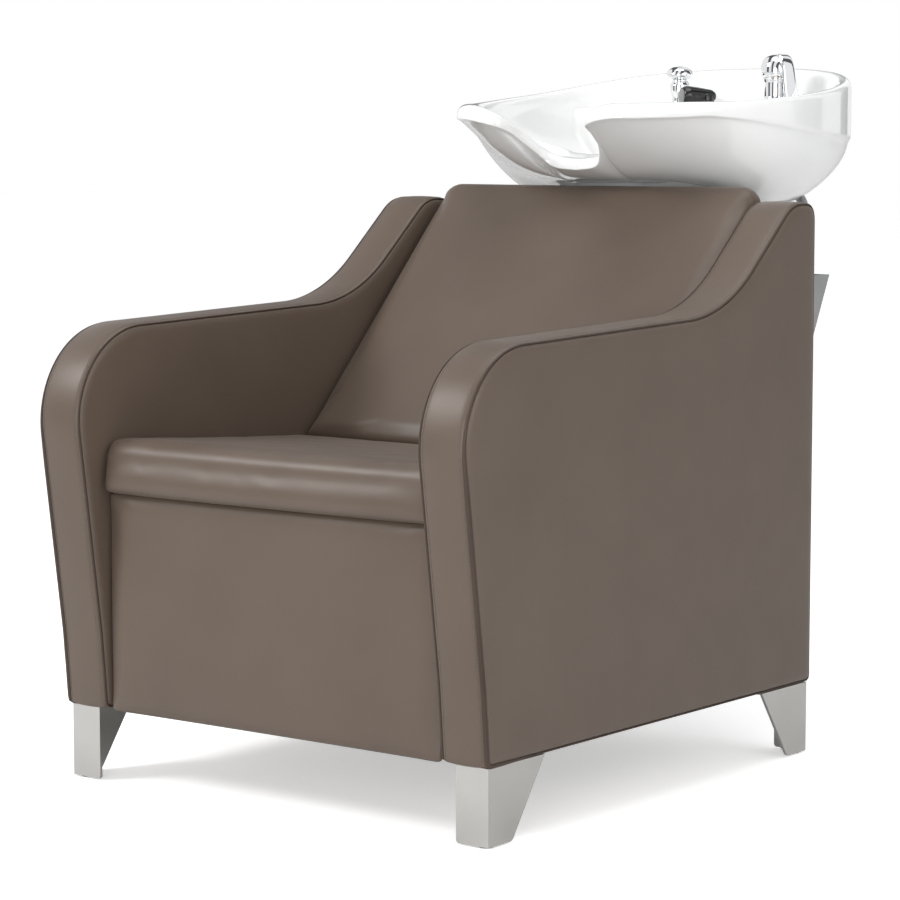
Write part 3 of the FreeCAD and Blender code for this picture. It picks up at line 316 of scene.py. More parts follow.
def two_tone(tree, shader, pattern, dark, light):
    """Let the base colour drift between two tones."""
    tone = ramp(tree, pattern.outputs["Fac"], [(0.3, dark), (0.7, light)])
    tree.links.new(tone, shader.inputs["Base Color"])


def spread(tree, source, low, high):
    """Map a 0..1 value to low..high."""
    node = tree.nodes.new("ShaderNodeMapRange")
    node.inputs["To Min"].default_value = low
    node.inputs["To Max"].default_value = high
    tree.links.new(source, node.inputs["Value"])
    return node.outputs["Result"]


def bump(tree, source, strength, distance, base=None):
    """Raise the surface by a value, on top of another bump when there is one."""
    node = tree.nodes.new("ShaderNodeBump")
    node.inputs["Strength"].default_value = strength
    node.inputs["Distance"].default_value = distance
    tree.links.new(source, node.inputs["Height"])
    if base is not None:
        tree.links.new(base, node.inputs["Normal"])
    return node.outputs["Normal"]


def mix_color(tree, factor, first, second, blend="MIX"):
    """Mix two colours; each input is a plain value or another node's output."""
    node = tree.nodes.new("ShaderNodeMix")
    node.data_type = "RGBA"
    node.blend_type = blend
    for key, value in (("Factor", factor), ("A", first), ("B", second)):
        socket = [s for s in node.inputs if s.name == key and s.enabled][0]
        if hasattr(value, "is_linked"):
            tree.links.new(value, socket)
        else:
            socket.default_value = value if isinstance(value, (int, float)) else (*value, 1)
    return [s for s in node.outputs if s.enabled][0]


def leatherette(name, dark, light, roughness=0.42):
    """Smooth upholstery leatherette: pebble grain, soft mottling, paler worn edges, and painted shade
    that darkens its creases.
    """
    material, tree, shader = new_material(name)
    cloud = texture(tree, "ShaderNodeTexNoise", 9, Detail=3)
    grain = texture(tree, "ShaderNodeTexVoronoi", 620)
    pores = texture(tree, "ShaderNodeTexNoise", 1500, Detail=2)
    soft = texture(tree, "ShaderNodeTexNoise", 26, Detail=2)
    tone = ramp(tree, cloud.outputs["Fac"], [(0.3, dark), (0.7, light)])
    geometry_node = tree.nodes.new("ShaderNodeNewGeometry")
    # painted shade: the darkest tone goes into concave creases; the pale tone on sharp convex edges is
    # wear
    painted_crease_shade, plain, worn = (0.42, 0.36, 0.32), (1, 1, 1), (1.18, 1.16, 1.14)
    edge = ramp(tree, geometry_node.outputs["Pointiness"],
                [(0.40, painted_crease_shade), (0.485, plain), (0.54, plain), (0.62, worn)])
    color = mix_color(tree, 1.0, tone, edge, "MULTIPLY")
    tree.links.new(color, shader.inputs["Base Color"])
    tree.links.new(spread(tree, soft.outputs["Fac"], roughness - 0.05, roughness + 0.07),
                   shader.inputs["Roughness"])
    waves = bump(tree, soft.outputs["Fac"], 0.05, 0.004)
    pebbles = bump(tree, grain.outputs["Distance"], 0.10, 0.0004, waves)
    tree.links.new(bump(tree, pores.outputs["Fac"], 0.08, 0.0002, pebbles), shader.inputs["Normal"])
    shader.inputs["Specular IOR Level"].default_value = 0.42
    shader.inputs["Sheen Weight"].default_value = 0.06
    shader.inputs["Sheen Roughness"].default_value = 0.4
    return material


def ceramic(name):
    """White glazed ceramic: a glossy, slightly uneven glaze with a faint orange peel."""
    material, tree, shader = new_material(name)
    peel = texture(tree, "ShaderNodeTexNoise", 42, Detail=2)
    speck = texture(tree, "ShaderNodeTexNoise", 7, Detail=3)
    two_tone(tree, shader, speck, (0.79, 0.80, 0.795), (0.82, 0.825, 0.82))
    tree.links.new(spread(tree, speck.outputs["Fac"], 0.05, 0.13), shader.inputs["Roughness"])
    tree.links.new(bump(tree, peel.outputs["Fac"], 0.05, 0.002), shader.inputs["Normal"])
    shader.inputs["Coat Weight"].default_value = 0.6
    shader.inputs["Coat Roughness"].default_value = 0.03
    shader.inputs["Subsurface Weight"].default_value = 0.08
    shader.inputs["Subsurface Radius"].default_value = (0.004, 0.004, 0.004)
    return material


def metal(name, color, low, high, streak=(1, 1, 1), scale=60, depth=0.03):
    """Bare or plated metal; streak stretches its brushing or polishing marks."""
    material, tree, shader = new_material(name)
    marks = texture(tree, "ShaderNodeTexNoise", scale, streak, Detail=4)
    haze = texture(tree, "ShaderNodeTexNoise", 14, Detail=3)
    two_tone(tree, shader, haze, tuple(channel * 0.93 for channel in color), color)
    tree.links.new(spread(tree, marks.outputs["Fac"], low, high), shader.inputs["Roughness"])
    tree.links.new(bump(tree, marks.outputs["Fac"], depth, 0.0006), shader.inputs["Normal"])
    shader.inputs["Metallic"].default_value = 1.0
    return material


def painted(name, dark, light, roughness, peel, depth):
    """Paint, plastic or rubber: a little colour drift and a fine moulded or sprayed surface."""
    material, tree, shader = new_material(name)
    drift = texture(tree, "ShaderNodeTexNoise", 11, Detail=4)
    skin = texture(tree, "ShaderNodeTexNoise", peel * 8, Detail=3)
    two_tone(tree, shader, drift, dark, light)
    tree.links.new(spread(tree, skin.outputs["Fac"], roughness - 0.06, roughness + 0.08),
                   shader.inputs["Roughness"])
    tree.links.new(bump(tree, skin.outputs["Fac"], depth, 0.0004), shader.inputs["Normal"])
    return material


def plywood(name):
    """Birch plywood: long grain with fine plies."""
    material, tree, shader = new_material(name)
    grain = texture(tree, "ShaderNodeTexNoise", 16, (1, 0.15, 6), Detail=6)
    plies = texture(tree, "ShaderNodeTexWave", 300, (0.2, 0.05, 1), Distortion=1.2)
    wood = ramp(tree, grain.outputs["Fac"], [(0.25, (0.42, 0.28, 0.15)), (0.75, (0.68, 0.52, 0.33))])
    color = mix_color(tree, 0.25, wood, plies.outputs["Color"], "MULTIPLY")
    tree.links.new(color, shader.inputs["Base Color"])
    tree.links.new(bump(tree, grain.outputs["Fac"], 0.2, 0.0006), shader.inputs["Normal"])
    shader.inputs["Roughness"].default_value = 0.62
    return material


def braided(name):
    """Stainless braid over a hose: two crossing sets of fine diagonal wires."""
    material, tree, shader = new_material(name)
    one = texture(tree, "ShaderNodeTexWave", 180, (1, 1, 1), Distortion=0.2, wave_profile="SIN")
    other = texture(tree, "ShaderNodeTexWave", 180, (-1, 1, 1), Distortion=0.2, wave_profile="SIN")
    weave = mix_color(tree, 0.5, one.outputs["Color"], other.outputs["Color"], "DIFFERENCE")
    tone = ramp(tree, weave, [(0.1, (0.16, 0.16, 0.17)), (0.6, (0.72, 0.72, 0.74))])
    tree.links.new(tone, shader.inputs["Base Color"])
    tree.links.new(bump(tree, weave, 0.5, 0.0008), shader.inputs["Normal"])
    shader.inputs["Metallic"].default_value = 0.9
    shader.inputs["Roughness"].default_value = 0.28
    return material


# colours are linear red, green and blue; a pair is the darkest and the palest tone
TAUPE_DARK, TAUPE_LIGHT = (0.089, 0.064, 0.048), (0.099, 0.072, 0.054)
LEATHER = leatherette("leatherette", TAUPE_DARK, TAUPE_LIGHT)
# a dark leatherette whose colour is painted shade, for the tubes in the arms' seams
SEAM_SHADE = leatherette("seam_shade_leatherette", (0.034, 0.019, 0.011), (0.046, 0.028, 0.018), roughness=0.6)
THREAD = painted("thread", (0.10, 0.075, 0.06), (0.14, 0.11, 0.09), 0.6, 90, 0.3)
GLAZE = ceramic("glaze")
CHROME = metal("chrome", (0.86, 0.87, 0.88), 0.03, 0.08, depth=0.01)
BRUSHED = metal("brushed_leg", (0.53, 0.52, 0.50), 0.24, 0.40, (1, 1, 0.03), 700, 0.12)
ZINC = metal("zinc", (0.60, 0.60, 0.57), 0.30, 0.50)
BRASS = metal("brass", (0.75, 0.56, 0.28), 0.20, 0.38)
BLACK_STEEL = painted("black_steel", (0.018, 0.018, 0.020), (0.035, 0.035, 0.038), 0.42, 60, 0.25)
RUBBER = painted("rubber", (0.016, 0.016, 0.016), (0.030, 0.030, 0.030), 0.62, 50, 0.3)
BLACK_PLASTIC = painted("black_plastic", (0.006, 0.006, 0.007), (0.014, 0.014, 0.015), 0.16, 30, 0.03)
GREY_PLASTIC = painted("grey_plastic", (0.19, 0.19, 0.19), (0.24, 0.24, 0.24), 0.4, 60, 0.15)
COVER_GREY = painted("cover_grey", (0.235, 0.245, 0.250), (0.285, 0.29, 0.29), 0.34, 55, 0.12)
WOOD = plywood("plywood")
BRAID = braided("braid")
SLOT_MATERIALS = {
    "leatherette": LEATHER, "plywood": WOOD, "black_board": BLACK_STEEL, "brushed_leg": BRUSHED,
    "zinc": ZINC, "frame_paint": BLACK_STEEL, "rubber": RUBBER, "ceramic": GLAZE, "chrome": CHROME,
    "black_plastic": BLACK_PLASTIC, "pale_plastic": GREY_PLASTIC, "brass": BRASS, "braid": BRAID,
    "cover_grey": COVER_GREY,
}


def paint_cad_nodes():
    """Every CAD node gets the procedural material of its slot."""
    for part in frame["record"]["subparts"]:
        node = frame["nodes"][part["node"]]
        node.data.materials.clear()
        node.data.materials.append(SLOT_MATERIALS[part["material_slot"]])


# ---------------- arms

SEAM_INNER = INNER_FACE + 4 * MM     # where the band meets the inner panel
SEAM_OUTER = OUTER_FACE - 5 * MM
# corners of an arm's side view as (y, z, rounding radius), from the front foot round to the rear one
ARM_CORNERS = [
    (FRONT, FOOT, 0.006), (FRONT - 0.008, 0.190, 0.30), (FRONT - 0.061, 0.580, 0.120),
    (FRONT + 0.503, 0.598, 0.240), (FRONT + 0.663, ARM_TOP, 0.060), (REAR, ARM_TOP, 0.022),
    (REAR, FOOT, 0.006),
]
OUTLINE = rounded_outline(ARM_CORNERS, 6 * MM)
NORMALS = inward_normals(OUTLINE)
CORNER_REACH = 0.060                 # how far from a bottom corner an inset ring is squeezed


def inset_outline(depth):
    """The arm's outline drawn in by a depth, squeezed near its tight bottom corners."""
    y, z = OUTLINE.T
    ring = OUTLINE + NORMALS * depth
    rear, front, rise = REAR - y, y - FRONT, z - FOOT
    near_rear = (rise < CORNER_REACH) & (rear < CORNER_REACH)
    near_front = (rise < CORNER_REACH) & (front < CORNER_REACH)
    keep = 1 - depth / CORNER_REACH
    ring[near_rear, 0] = REAR - depth - rear[near_rear] * keep
    ring[near_front, 0] = FRONT + depth + front[near_front] * keep
    corner = near_rear | near_front
    ring[corner, 1] = FOOT + depth + rise[corner] * keep
    return ring


def arm_ring(x, depth, side):
    """The inset outline as points at one x."""
    return [(side * x, y, z) for y, z in inset_outline(depth)]


def make_band(side, word):
    """The long strip over the front, top and rear of an arm, crowned and rolled into its seams."""
    half = (SEAM_OUTER - SEAM_INNER) / 2
    middle = (SEAM_OUTER + SEAM_INNER) / 2
    # half of the strip's section as (offset across, depth below the outline)
    section = [(-half, 0.012), (-half, 0.0075), (-half + 0.0004, 0.0045), (-half + 0.0016, 0.0022),
               (-half + 0.0040, 0.0009), (-half + 0.0100, 0.0003), (-half * 0.4, -0.0003)]
    crest = (0, -0.0005)
    section += [crest] + [(-offset, depth) for offset, depth in reversed(section)]
    verts = []
    for offset, depth in section:
        verts += arm_ring(middle + offset, depth, side)
    faces = grid_faces(len(section), len(OUTLINE), wrap_rows=True)
    band = smooth(new_object(f"arm_band_{word}_cover", verts, faces))
    face_outwards(band)
    return dress(band, LEATHER, "chair", "leatherette", "arm_band_" + word)


def face_outwards(piece):
    """Turn every face of a closed piece outwards."""
    mesh = bmesh.new()
    mesh.from_mesh(piece.data)
    bmesh.ops.recalc_face_normals(mesh, faces=mesh.faces)
    mesh.to_mesh(piece.data)
    mesh.free()
    return piece


def distance_to_outline(spots):
    """How far each y, z point is from the arm's outline."""
    gaps = np.linalg.norm(spots[:, None, :] - OUTLINE[None, :, :], axis=2)
    return gaps.min(axis=1)


ROLL_START, ROLL = 0.0045, 0.012     # where a panel's rolled edge starts, and its width
ROLL_SHARES = (0.0, 0.02, 0.06, 0.14, 0.26, 0.42, 0.60, 0.80)
FILL_PITCH = 0.014                   # spacing of the points that fill a panel's face
SWELL_REACH = 0.07                   # how far in from its edge a panel's swelling builds up


def rolled_edge(side, face_x, seam_x, outward):
    """Rings of a side panel, from behind its seam over the rolled edge to its face."""
    depth = abs(face_x - seam_x)
    verts = arm_ring(seam_x - outward * 0.004, 0.010, side)
    verts += arm_ring(seam_x - outward * 0.003, 0.006, side)
    for share in ROLL_SHARES:
        rise = math.sin(math.acos(1 - share))
        verts += arm_ring(seam_x + outward * depth * rise, ROLL_START + ROLL * share, side)
    return verts


def fill_points(rim, rim_inset):
    """A grid of y, z points inside a rim, kept a little clear of it."""
    low, high = OUTLINE.min(axis=0), OUTLINE.max(axis=0)
    ys = np.arange(low[0], high[0], FILL_PITCH)
    zs = np.arange(low[1], high[1], FILL_PITCH)
    ys, zs = np.meshgrid(ys, zs, indexing="ij")
    spots = np.stack([ys.ravel(), zs.ravel()], axis=1)
    spots = spots[[point_inside(spot, rim) for spot in spots]]
    return spots[distance_to_outline(spots) > rim_inset + FILL_PITCH * 0.55]


def make_side_panel(side, node, face_x, seam_x, crown):
    """A padded side panel: it rolls into the seam all round and swells a little in the middle."""
    outward = 1 if face_x > seam_x else -1
    count = len(OUTLINE)
    verts = rolled_edge(side, face_x, seam_x, outward)
    rows = len(verts) // count
    faces = grid_faces(rows, count)

    rim_inset = ROLL_START + ROLL * ROLL_SHARES[-1]
    rim = inset_outline(rim_inset)
    flat = [Vector(spot) for spot in np.concatenate([rim, fill_points(rim, rim_inset)])]
    edges = [(i, (i + 1) % count) for i in range(count)]
    spots, _, triangles, *_ = geometry.delaunay_2d_cdt(flat, edges, [], 1, 1e-6)
    rim_start, fill_start = (rows - 1) * count, len(verts) - count
    away = distance_to_outline(np.array([tuple(spot) for spot in spots[count:]]))
    for spot, gap in zip(spots[count:], away):
        swell = crown * (1 - math.exp(-(gap - rim_inset) / SWELL_REACH))
        verts.append((side * (face_x + outward * swell), spot[0], spot[1]))
    for triangle in triangles:
        faces.append(tuple(i + (rim_start if i < count else fill_start) for i in triangle))
    faces.append(tuple(range(count)))
    panel = face_outwards(smooth(new_object(node + "_cover", verts, faces)))
    return dress(panel, LEATHER, "chair", "leatherette", node)


def point_inside(spot, outline):
    """Even-odd test of a y, z point in a closed outline."""
    y, z = spot
    y1, z1 = outline[:, 0], outline[:, 1]
    y2, z2 = np.roll(y1, -1), np.roll(z1, -1)
    crossing = (z1 > z) != (z2 > z)
    with np.errstate(divide="ignore", invalid="ignore"):
        at = (y2 - y1) * (z - z1) / (z2 - z1) + y1
    return bool(np.sum(crossing & (y < at)) % 2)


def make_seam_shade(side, word, place, x, wide_front):
    """The dark tube in the sunken seam between band and panel, its colour painted shade, opened wider
    down the front of the arm.
    """
    depth, radius, sides = 0.0028, 0.0012, 10
    line = np.array(arm_ring(x, depth, side))
    near_front = 1 - smoothstep(FRONT + 0.02, FRONT + 0.10, line[:, 1])
    below_bend = 1 - smoothstep(0.40, 0.54, line[:, 2])
    front = near_front * below_bend
    crease = tube(f"arm_seam_shade_{place}_{word}", line, radius, sides, closed=True,
                  ripple=lambda i: 1 + wide_front * front[i])
    return dress(crease, SEAM_SHADE, "chair", "leatherette")


STITCH, STITCH_GAP, THREAD_RADIUS = 0.0034, 0.0012, 0.00045
STITCH_RINGS = [(-0.5, 0.35), (-0.38, 0.85), (0.0, 1.0), (0.38, 0.85), (0.5, 0.35)]
THREAD_SIDES = 6


def make_stitches(name, line):
    """A closed line of sewing: short capsules of thread that sit half in the surface."""
    spots = resample([tuple(p) for p in line], STITCH + STITCH_GAP, closed=True)
    verts, faces = [], []
    for a, b in zip(spots, np.roll(spots, -1, axis=0)):
        forward = (b - a) / np.linalg.norm(b - a)
        middle = (a + b) / 2
        up = np.cross(forward, [0.31, 0.17, 0.93])
        up /= np.linalg.norm(up)
        across = np.cross(forward, up)
        start = len(verts)
        for along, size in STITCH_RINGS:
            for corner in range(THREAD_SIDES):
                angle = 2 * math.pi * corner / THREAD_SIDES
                verts.append(middle + forward * along * STITCH
                             + THREAD_RADIUS * size * (math.cos(angle) * up + math.sin(angle) * across))
        faces += grid_faces(len(STITCH_RINGS), THREAD_SIDES, start=start)
        faces += end_caps(len(STITCH_RINGS), THREAD_SIDES, start)
    return dress(smooth(new_object(name, verts, faces)), THREAD, "chair", "leatherette")


def make_arm(side, word):
    """One upholstered arm: band, two panels, and the seams, with tubes of painted shade, and sewing
    between them.
    """
    beside_seam, sewn_depth, skin = 0.0052, 0.0006, 0.0003
    make_band(side, word)
    make_side_panel(side, "arm_outer_panel_" + word, OUTER_FACE - skin, SEAM_OUTER, crown=0.0012)
    make_side_panel(side, "arm_inner_panel_" + word, INNER_FACE + skin, SEAM_INNER, crown=0.0006)
    # tubes of painted shade in the seams; the outer one is much wider down the front
    make_seam_shade(side, word, "outer", SEAM_OUTER, wide_front=1.7)
    make_seam_shade(side, word, "inner", SEAM_INNER, wide_front=0.4)
    for place, x in (("outer", SEAM_OUTER - beside_seam), ("inner", SEAM_INNER + beside_seam)):
        line = np.array(arm_ring(x, sewn_depth, side))
        make_stitches(f"arm_stitches_{place}_{word}", line)


# ---------------- cushions

VOXEL = 0.006                        # the soft pieces' remesh size
OUTLINE_STEP = 0.004


def remesh(piece):
    """Even, small quads all over the piece."""
    return apply_modifier(piece, "REMESH", mode="VOXEL", voxel_size=VOXEL)


def inflate(piece, pressure, cap, pinned):
    """Swell a closed pad with Blender's cloth, capping how far any point may move."""
    frames = 20
    before = points_of(piece)
    cloth = piece.modifiers.new("Cloth", "CLOTH")
    settings = cloth.settings
    settings.quality = 5
    settings.mass = 0.35
    settings.tension_stiffness = 25
    settings.compression_stiffness = 25
    settings.shear_stiffness = 10
    settings.bending_stiffness = 1.5
    settings.use_pressure = True
    settings.uniform_pressure_force = pressure
    settings.effector_weights.gravity = 0
    cloth.collision_settings.use_collision = False
    group = piece.vertex_groups.new(name="held")
    group.add([i for i, spot in enumerate(before) if pinned(spot)], 1.0, "REPLACE")
    settings.vertex_group_mass = "held"
    scene = bpy.context.scene
    scene.frame_start, scene.frame_end = 1, frames
    for number in range(1, frames + 1):
        scene.frame_set(number)
    bake(piece)
    scene.frame_set(1)
    move = points_of(piece) - before
    length = np.linalg.norm(move, axis=1)
    scale = np.where(length > cap, cap / np.maximum(length, 1e-9), 1)
    set_points(piece, before + move * scale[:, None])
    return piece


def prism(name, outline, low_x, high_x):
    """A straight block between two x planes from a y, z outline."""
    count = len(outline)
    verts = [(low_x, y, z) for y, z in outline] + [(high_x, y, z) for y, z in outline]
    faces = [tuple(range(count)), tuple(range(2 * count - 1, count - 1, -1))]
    faces += [(i, i + count, (i + 1) % count + count, (i + 1) % count) for i in range(count)]
    return face_outwards(new_object(name, verts, faces))


def fit_to_box(piece, low, high):
    """Stretch a piece to fill a box exactly."""
    spots = points_of(piece)
    now_low, now_high = spots.min(axis=0), spots.max(axis=0)
    low, high = np.array(low), np.array(high)
    set_points(piece, low + (spots - now_low) * (high - low) / (now_high - now_low))
    return piece


def settle(piece, smoothing):
    """Even out the voxel steps, then subdivide once."""
    apply_modifier(piece, "SMOOTH", factor=0.5, iterations=smoothing)
    apply_modifier(piece, "SUBSURF", levels=1, render_levels=1)
    return smooth(piece)


SKIN = 0.003                         # how far the covers' sides lie outside the foam


def make_pad(name, corners, half, pressure, cap, pinned, smoothing):
    """A soft pad: a block with rounded edges, remeshed, swollen by cloth pressure and evened out."""
    pad = prism(name, rounded_outline(corners, OUTLINE_STEP), -half, half)
    remesh(pad)
    inflate(pad, pressure, cap, pinned)
    return settle(pad, smoothing)


def make_seat_cushion():
    """Firm foam seat with a bull-nosed front, a little crown and soft vertical corners."""
    low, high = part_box("seat_cushion")
    front, rear = low.y + 0.001, high.y
    under, top, top_rear = low.z, 0.4405, 0.4155
    corners = [(front, under, 0.007), (front + 0.008, top, 0.017), (rear, top_rear, 0.012),
               (rear, under, 0.006)]
    seat = make_pad("seat_cushion_cover", corners, high.x - 0.0045, 3.0, 0.0040,
                    lambda spot: spot[2] < under + 0.004 and spot[1] > front + 0.03, 5)
    half = high.x + SKIN
    fit_to_box(seat, (-half, low.y, under), (half, rear, top + 0.002))
    return dress(seat, LEATHER, "chair", "leatherette", "seat_cushion")


BACK_FOOT = (FRONT + 0.378, 0.424)   # y and z of the back's sitting face, bottom and top
BACK_HEAD = (FRONT + 0.706, 0.752)


def make_back_cushion():
    """Leaning back slab whose top rolls over to the rear and whose top corners are rounded."""
    low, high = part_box("back_cushion")
    foot_y, foot_z = BACK_FOOT
    head_y, head_z = BACK_HEAD
    rear, thickness = high.y, 0.047
    corners = [(foot_y, foot_z, 0.010), (head_y, head_z, 0.010), (rear, head_z - 0.008, 0.007),
               (rear, 0.672, 0.010), (foot_y + thickness, foot_z - thickness, 0.010)]
    back = make_pad("back_cushion_cover", corners, high.x - 0.003, 3.0, 0.0040,
                    lambda spot: spot[1] - spot[2] > foot_y - foot_z + 0.07, 5)
    half = high.x + 0.002
    fit_to_box(back, (-half, low.y, low.z), (half, rear, head_z + 0.001))
    round_top_corners(back, half)
    return dress(back, LEATHER, "chair", "leatherette", "back_cushion")


def round_top_corners(back, half):
    """Draw the top outer corners of the back down and in, and crown the top edge."""
    radius, drawn_forward, crown = 0.030, 0.55, 0.002
    top = BACK_HEAD[1]
    spots = points_of(back)
    over_x = np.clip((np.abs(spots[:, 0]) - (half - radius)) / radius, 0, 1)
    over_z = np.clip((spots[:, 2] - (top - radius)) / radius, 0, 1)
    drop = radius * (1 - np.sqrt(np.clip(1 - over_x**2, 0, 1))) * over_z
    spots[:, 2] -= drop
    spots[:, 1] -= drop * drawn_forward
    spots[:, 2] += crown * (1 - (spots[:, 0] / half) ** 2) * np.clip((spots[:, 2] - 0.70) / 0.05, 0, 1)
    set_points(back, spots)


def make_front_panel():
    """Thinly padded front between the arms, pulled flat at its edges."""
    low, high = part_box("front_panel_pad")
    front, top = low.y + 0.001, high.z + 0.008
    corners = [(front, low.z, 0.004), (front, top, 0.004), (high.y, top, 0.003), (high.y, low.z, 0.003)]
    panel = make_pad("front_panel_cover", corners, high.x, 1.5, 0.0025,
                     lambda spot: spot[1] > high.y - 0.004, 4)
    half = high.x + SKIN
    seat_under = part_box("seat_cushion")[0].z
    fit_to_box(panel, (-half, low.y - 0.001, low.z - SKIN), (half, high.y, seat_under + 0.002))
    return dress(panel, LEATHER, "chair", "leatherette", "front_panel_pad")


# ---------------- basin

# one half of the rim's centre line as (x, y, z), from the middle of the rear to the middle of the neck
RIM_KNOTS = [
    (0.000, 0.745, 0.911), (0.086, 0.733, 0.909), (0.163, 0.697, 0.902), (0.217, 0.634, 0.889),
    (0.242, 0.545, 0.875), (0.242, 0.445, 0.865), (0.219, 0.352, 0.858), (0.176, 0.278, 0.854),
    (0.142, 0.228, 0.852), (0.110, 0.206, 0.851), (0.082, 0.212, 0.841), (0.074, 0.252, 0.820),
    (0.056, 0.284, 0.795), (0.036, 0.295, 0.783), (0.000, 0.300, 0.779),
]
RIM_CENTRE = np.array([0, 0.469, 0])
LIP = 0.010                         # radius of the rolled rim
LIP_INSET = 0.0048                  # how far the belly's top edge lies inside the rim's outer face
SHELF_CENTRE, SHELF_HALF, SHELF_Z = np.array([0.0, 0.505]), np.array([0.160, 0.139]), 0.758
SHELF_DROP = 0.036                  # how much lower the shelf is at the rear than at the front
FOOT_CENTRE, FOOT_RADIUS, FOOT_Z = np.array([0.0, 0.490]), 0.085, 0.690
FLOOR_CENTRE, FLOOR_RADIUS, FLOOR_Z = np.array([0.0, 0.480]), 0.046, 0.7065
DRAIN_RADIUS = 0.026


def closed_rim(step):
    """The rim's centre line, mirrored and closed, evenly spaced."""
    half = smooth_line(RIM_KNOTS, step)
    other = half[1:-1][::-1] * np.array([-1, 1, 1])
    return resample([tuple(p) for p in np.concatenate([half, other])], step, closed=True)


def bezier(p0, p1, p2, p3, count):
    """Rows of points along cubic curves, one curve for each point of the four rings."""
    t = np.linspace(0, 1, count)[:, None, None]
    return (1 - t)**3 * p0 + 3 * (1 - t)**2 * t * p1 + 3 * (1 - t) * t**2 * p2 + t**3 * p3


def ring_at(angles, centre, half, height):
    """An ellipse of points at some angles about a centre, 0 being straight to the rear."""
    half = np.broadcast_to(half, 2)
    return np.stack([centre[0] + half[0] * np.sin(angles), centre[1] + half[1] * np.cos(angles),
                     np.broadcast_to(height, angles.shape)], axis=1)


def rim_outwards(rim):
    """Level unit vectors that point out of the bowl all round the rim."""
    forward = np.roll(rim, -1, axis=0) - np.roll(rim, 1, axis=0)
    out = np.stack([forward[:, 1], -forward[:, 0], np.zeros(len(rim))], axis=1)
    out /= np.linalg.norm(out, axis=1)[:, None]
    faces_in = np.mean(np.sum(out * (rim - RIM_CENTRE), axis=1)) < 0
    return -out if faces_in else out


def level_way(start, end):
    """Level unit vectors from one ring to another, and the level distances."""
    way = end - start
    way[:, 2] = 0
    length = np.linalg.norm(way, axis=1)[:, None]
    return way / length, length


def under_rows(angles, shelf, away):
    """From the drain hole out along the under side to just before the shelf."""
    drain = ring_at(angles, FLOOR_CENTRE, DRAIN_RADIUS, FOOT_Z)
    foot = ring_at(angles, FOOT_CENTRE, FOOT_RADIUS, FOOT_Z)
    curve = bezier(foot, foot + away * 0.02, shelf - away * 0.010 - UP * 0.018, shelf, 8)
    return [drain, foot] + list(curve[1:-1])


def belly_rows(rim, shelf, start, side):
    """From the shelf up to the step below the band: upright at the sides, one raked bow in front."""
    away, length = level_way(shelf, start)
    height = (start - shelf)[:, 2:]
    rear = smoothstep(0.40, 0.52, rim[:, 1])[:, None]
    first = shelf + away * length * (0.40 + 0.14 * side - 0.16 * rear)
    upright = start - UP * height * 0.38
    raked = start - away * length * 0.33 - UP * height * 0.55
    last = upright * side + raked * (1 - side)
    return list(bezier(shelf, first, last, start, 26)[:-1])


def lip_rows(rim, out, lip, start, notch):
    """The step, the band above it and the rolled rim."""
    start_z = start[:, 2] + 0.0016
    rows = [start]
    for share in (0.04, 0.10, 0.3, 0.6, 1.0):
        band = rim + out * lip
        band[:, 2] = start_z + (rim[:, 2] - start_z) * share
        rows.append(band)
    last_turn = (math.pi * (1 - 0.42 * notch))[:, None]
    for share in np.linspace(0.11, 1, 8):
        turn = last_turn * share
        rows.append(rim + out * lip * np.cos(turn) + UP * lip * np.sin(turn))
    return rows


def inside_rows(angles, edge, side, notch):
    """From the rim's inner edge down to the bowl's floor: steep sides, a bowed front, an easy neck."""
    floor = ring_at(angles, FLOOR_CENTRE, FLOOR_RADIUS, FLOOR_Z)
    to_floor, reach = level_way(edge, floor)
    fall = edge[:, 2:] - FLOOR_Z
    cut = notch[:, None]
    bow = (1 - notch)[:, None] - side
    first = edge - UP * (0.080 * side - 0.030 * cut + 0.38 * fall * bow)
    first += to_floor * (0.004 * side + 0.059 * cut + 0.30 * reach * bow)
    last = floor + UP * (0.022 * side + 0.022 * cut + 0.030 * bow)
    last -= to_floor * (0.095 * side + 0.070 * cut + 0.30 * reach * bow)
    inside = bezier(edge, first, last, floor, 54)
    inside[:, :, 2] = hollow_height(inside)
    drain_edge = ring_at(angles, FLOOR_CENTRE, DRAIN_RADIUS, FLOOR_Z - 0.001)
    return list(inside[1:]) + [drain_edge]


def make_basin():
    """The ceramic bowl: rolled rim, band with a step, round belly, neck notch, deck and drain."""
    rim = closed_rim(0.0045)
    out = rim_outwards(rim)
    angles = np.arctan2(rim[:, 0] / 0.24, (rim[:, 1] - RIM_CENTRE[1]) / 0.27)
    notch = 1 - smoothstep(0.782, 0.848, rim[:, 2])          # 1 at the bottom of the neck notch
    side = (smoothstep(0.24, 0.42, rim[:, 1]) * (1 - notch))[:, None]
    lip = (LIP + 0.0025 * (1 - smoothstep(0.26, 0.36, rim[:, 1])))[:, None]

    shelf = ring_at(angles, SHELF_CENTRE, SHELF_HALF, SHELF_Z)
    shelf[:, 2] -= SHELF_DROP * smoothstep(0.385, 0.500, shelf[:, 1])
    start = rim + out * (lip - LIP_INSET)
    level_step = 0.848 - 0.036 * smoothstep(0.25, 0.62, rim[:, 1])
    start[:, 2] = np.minimum(level_step, rim[:, 2] - 0.006 - 0.004 * (1 - notch))
    away, _ = level_way(shelf, start)

    rows = under_rows(angles, shelf, away)
    rows += belly_rows(rim, shelf, start, side)
    rows += lip_rows(rim, out, lip, start, notch)
    rows += inside_rows(angles, rows[-1], side, notch)
    faces = grid_faces(len(rows), len(rim), wrap_rows=True)
    basin = face_outwards(new_object("basin_glazed", np.concatenate(rows), faces))
    apply_modifier(basin, "SMOOTH", factor=0.5, iterations=2)
    apply_modifier(basin, "SUBSURF", levels=1, render_levels=1)
    cut_spray_hole(basin)
    smooth(basin)
    return dress(basin, GLAZE, "basin", "ceramic", "basin")


